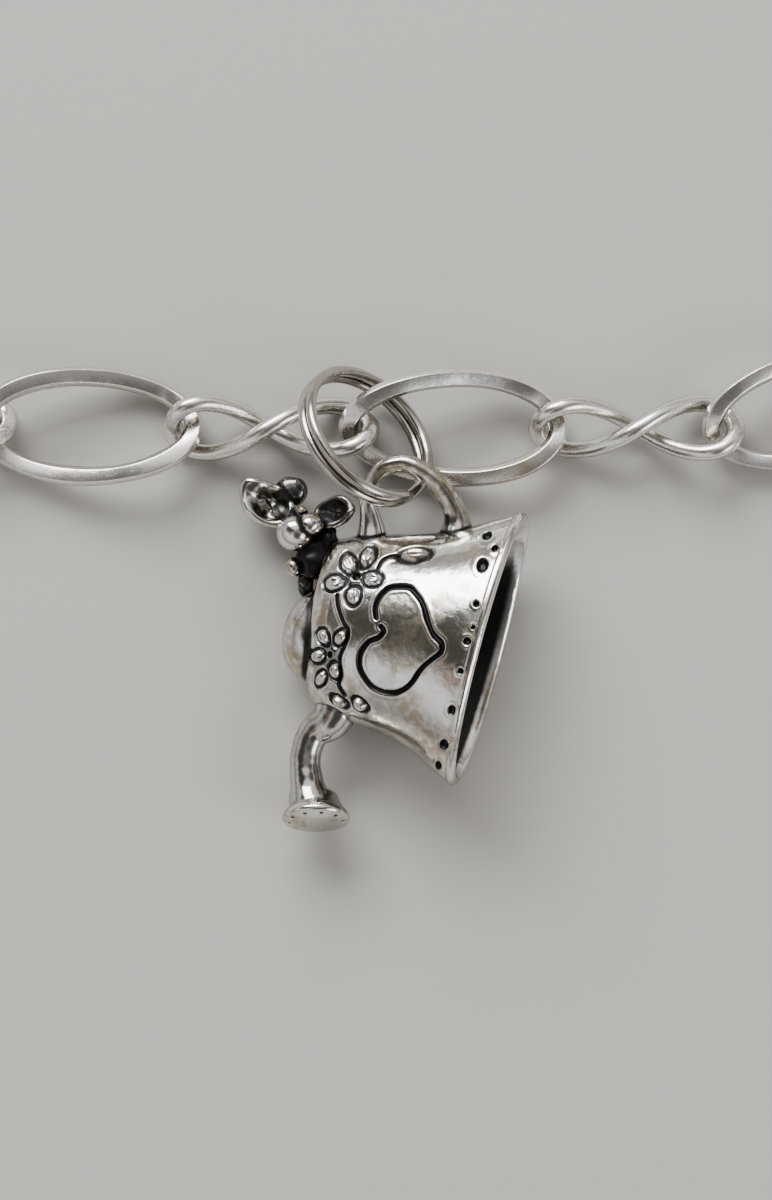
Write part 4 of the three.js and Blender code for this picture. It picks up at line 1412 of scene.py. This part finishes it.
# Each patch has its direction, the angles at which it is full and gone, and its colour.
SKY_PATCHES = [
    ((0, 0, 1), 50, 88, grey(0.95, 0.01)),
    ((0.2, 0, 1), 20, 40, grey(0.26, 0.03)),
    ((-0.64, 0.25, 1), 15, 34, (0.066, 0.062, 0.048, 1.0)),
    ((0.15, -0.6, 1), 12, 32, grey(0.08, 0.05)),
    ((0, 0.75, 1), 14, 32, grey(1.1, 0.0)),
    ((-0.62, -0.36, 1), 3, 11, (0.32, 0.2, 0.15, 1.0)),
    ((0.9, 0.3, 1), 6, 22, (0.14, 0.11, 0.09, 1.0)),
]


class Sky(Graph):
    """What the silver reflects: soft light that changes with the direction."""

    def __init__(self):
        super().__init__(bpy.data.worlds.new("studio"))
        bpy.context.scene.world = self.owner
        self.way = self.node("ShaderNodeTexCoord", {}, {}, "Generated")

    def towards(self, way, full, gone):
        """1 in a direction, falling to 0, with both angles in degrees from it."""
        ways = {0: self.way, 1: unit(np.array(way, float))}
        dot = self.node("ShaderNodeVectorMath", {"operation": "DOT_PRODUCT"}, ways, "Value")
        return dot.rise(math.cos(math.radians(gone)), math.cos(math.radians(full)))


def studio_sky():
    sky = Sky()
    colour = HORIZON
    for way, full, gone, patch in SKY_PATCHES:
        colour = sky.blend(sky.towards(way, full, gone), colour, patch)
    background = sky.node("ShaderNodeBackground", {}, {"Color": colour, "Strength": 1.0})
    sky.finish("ShaderNodeOutputWorld", background)


studio_sky()

# %% [markdown]
# ## Lamps
# The sky alone would give hardly any shadow. A large soft lamp behind the bracelet draws the bright
# lines along the wires and a gentle shadow, and a weak one in front keeps that shadow open. A sun
# or a spot would cut hard edges, so both are wide areas.

# %% Lamps
def soft_lamp(name, place, size, watts):
    lamp = bpy.data.lights.new(name, "AREA")
    lamp.shape = "RECTANGLE"
    lamp.size, lamp.size_y = size
    lamp.energy = watts
    made = bpy.data.objects.new(name, lamp)
    made.location = place
    made.rotation_euler = (-Vector(place)).to_track_quat("-Z", "Y").to_euler()
    bpy.context.collection.objects.link(made)
    print("lamp", name, "of", watts, "W")


soft_lamp("window", (-0.16, 0.46, 0.36), (0.44, 0.3), 5.0)
soft_lamp("fill", (0.4, -0.25, 0.3), (0.3, 0.2), 0.8)

# %% [markdown]
# ## Camera
# The photograph was taken by hand from close above, leaning back by a couple of degrees. The view's
# height on the floor is measured against the links, and the lens follows from it, so the camera can
# move without changing the framing. A flat, orthographic view would be simpler, but it loses the
# slight growth of what rises toward the lens.

# %% Camera
CAMERA_HEIGHT = 0.15
VIEW_HEIGHT = 54.05 * MM
VIEW_FROM_LINK = (-3.05, -7.793)
LOOK_AT = Vector((*(charm_link[:2] + VIEW_FROM_LINK), 1.5)) * MM
LEAN = math.radians(2)
SENSOR = 36

lens = bpy.data.cameras.new("camera")
lens.sensor_fit = "VERTICAL"
lens.sensor_height = SENSOR
lens.lens = SENSOR * (CAMERA_HEIGHT - LOOK_AT.z) / VIEW_HEIGHT
lens.clip_start, lens.clip_end = 0.01, 5
camera = bpy.data.objects.new("camera", lens)
bpy.context.collection.objects.link(camera)
camera.location = LOOK_AT + Vector((0, -math.sin(LEAN), math.cos(LEAN))) * (CAMERA_HEIGHT - LOOK_AT.z)
camera.rotation_euler = (LEAN, 0, 0)
bpy.context.scene.camera = camera
print("lens", round(lens.lens, 1), "mm, looking at", [round(v / MM, 2) for v in LOOK_AT])

# %% [markdown]
# ## The size
# The fine pieces must stay within the frame's box. That could be judged by eye, but a bump of a
# tenth of a millimetre wouldn't show, so both boxes are printed side by side.

# %% Sizes and finish
box_after = [list(corner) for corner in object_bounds()]
for before, after in zip(box_before, box_after):
    print("box corner", [round(v / MM, 2) for v in before], "now", [round(v / MM, 2) for v in after])
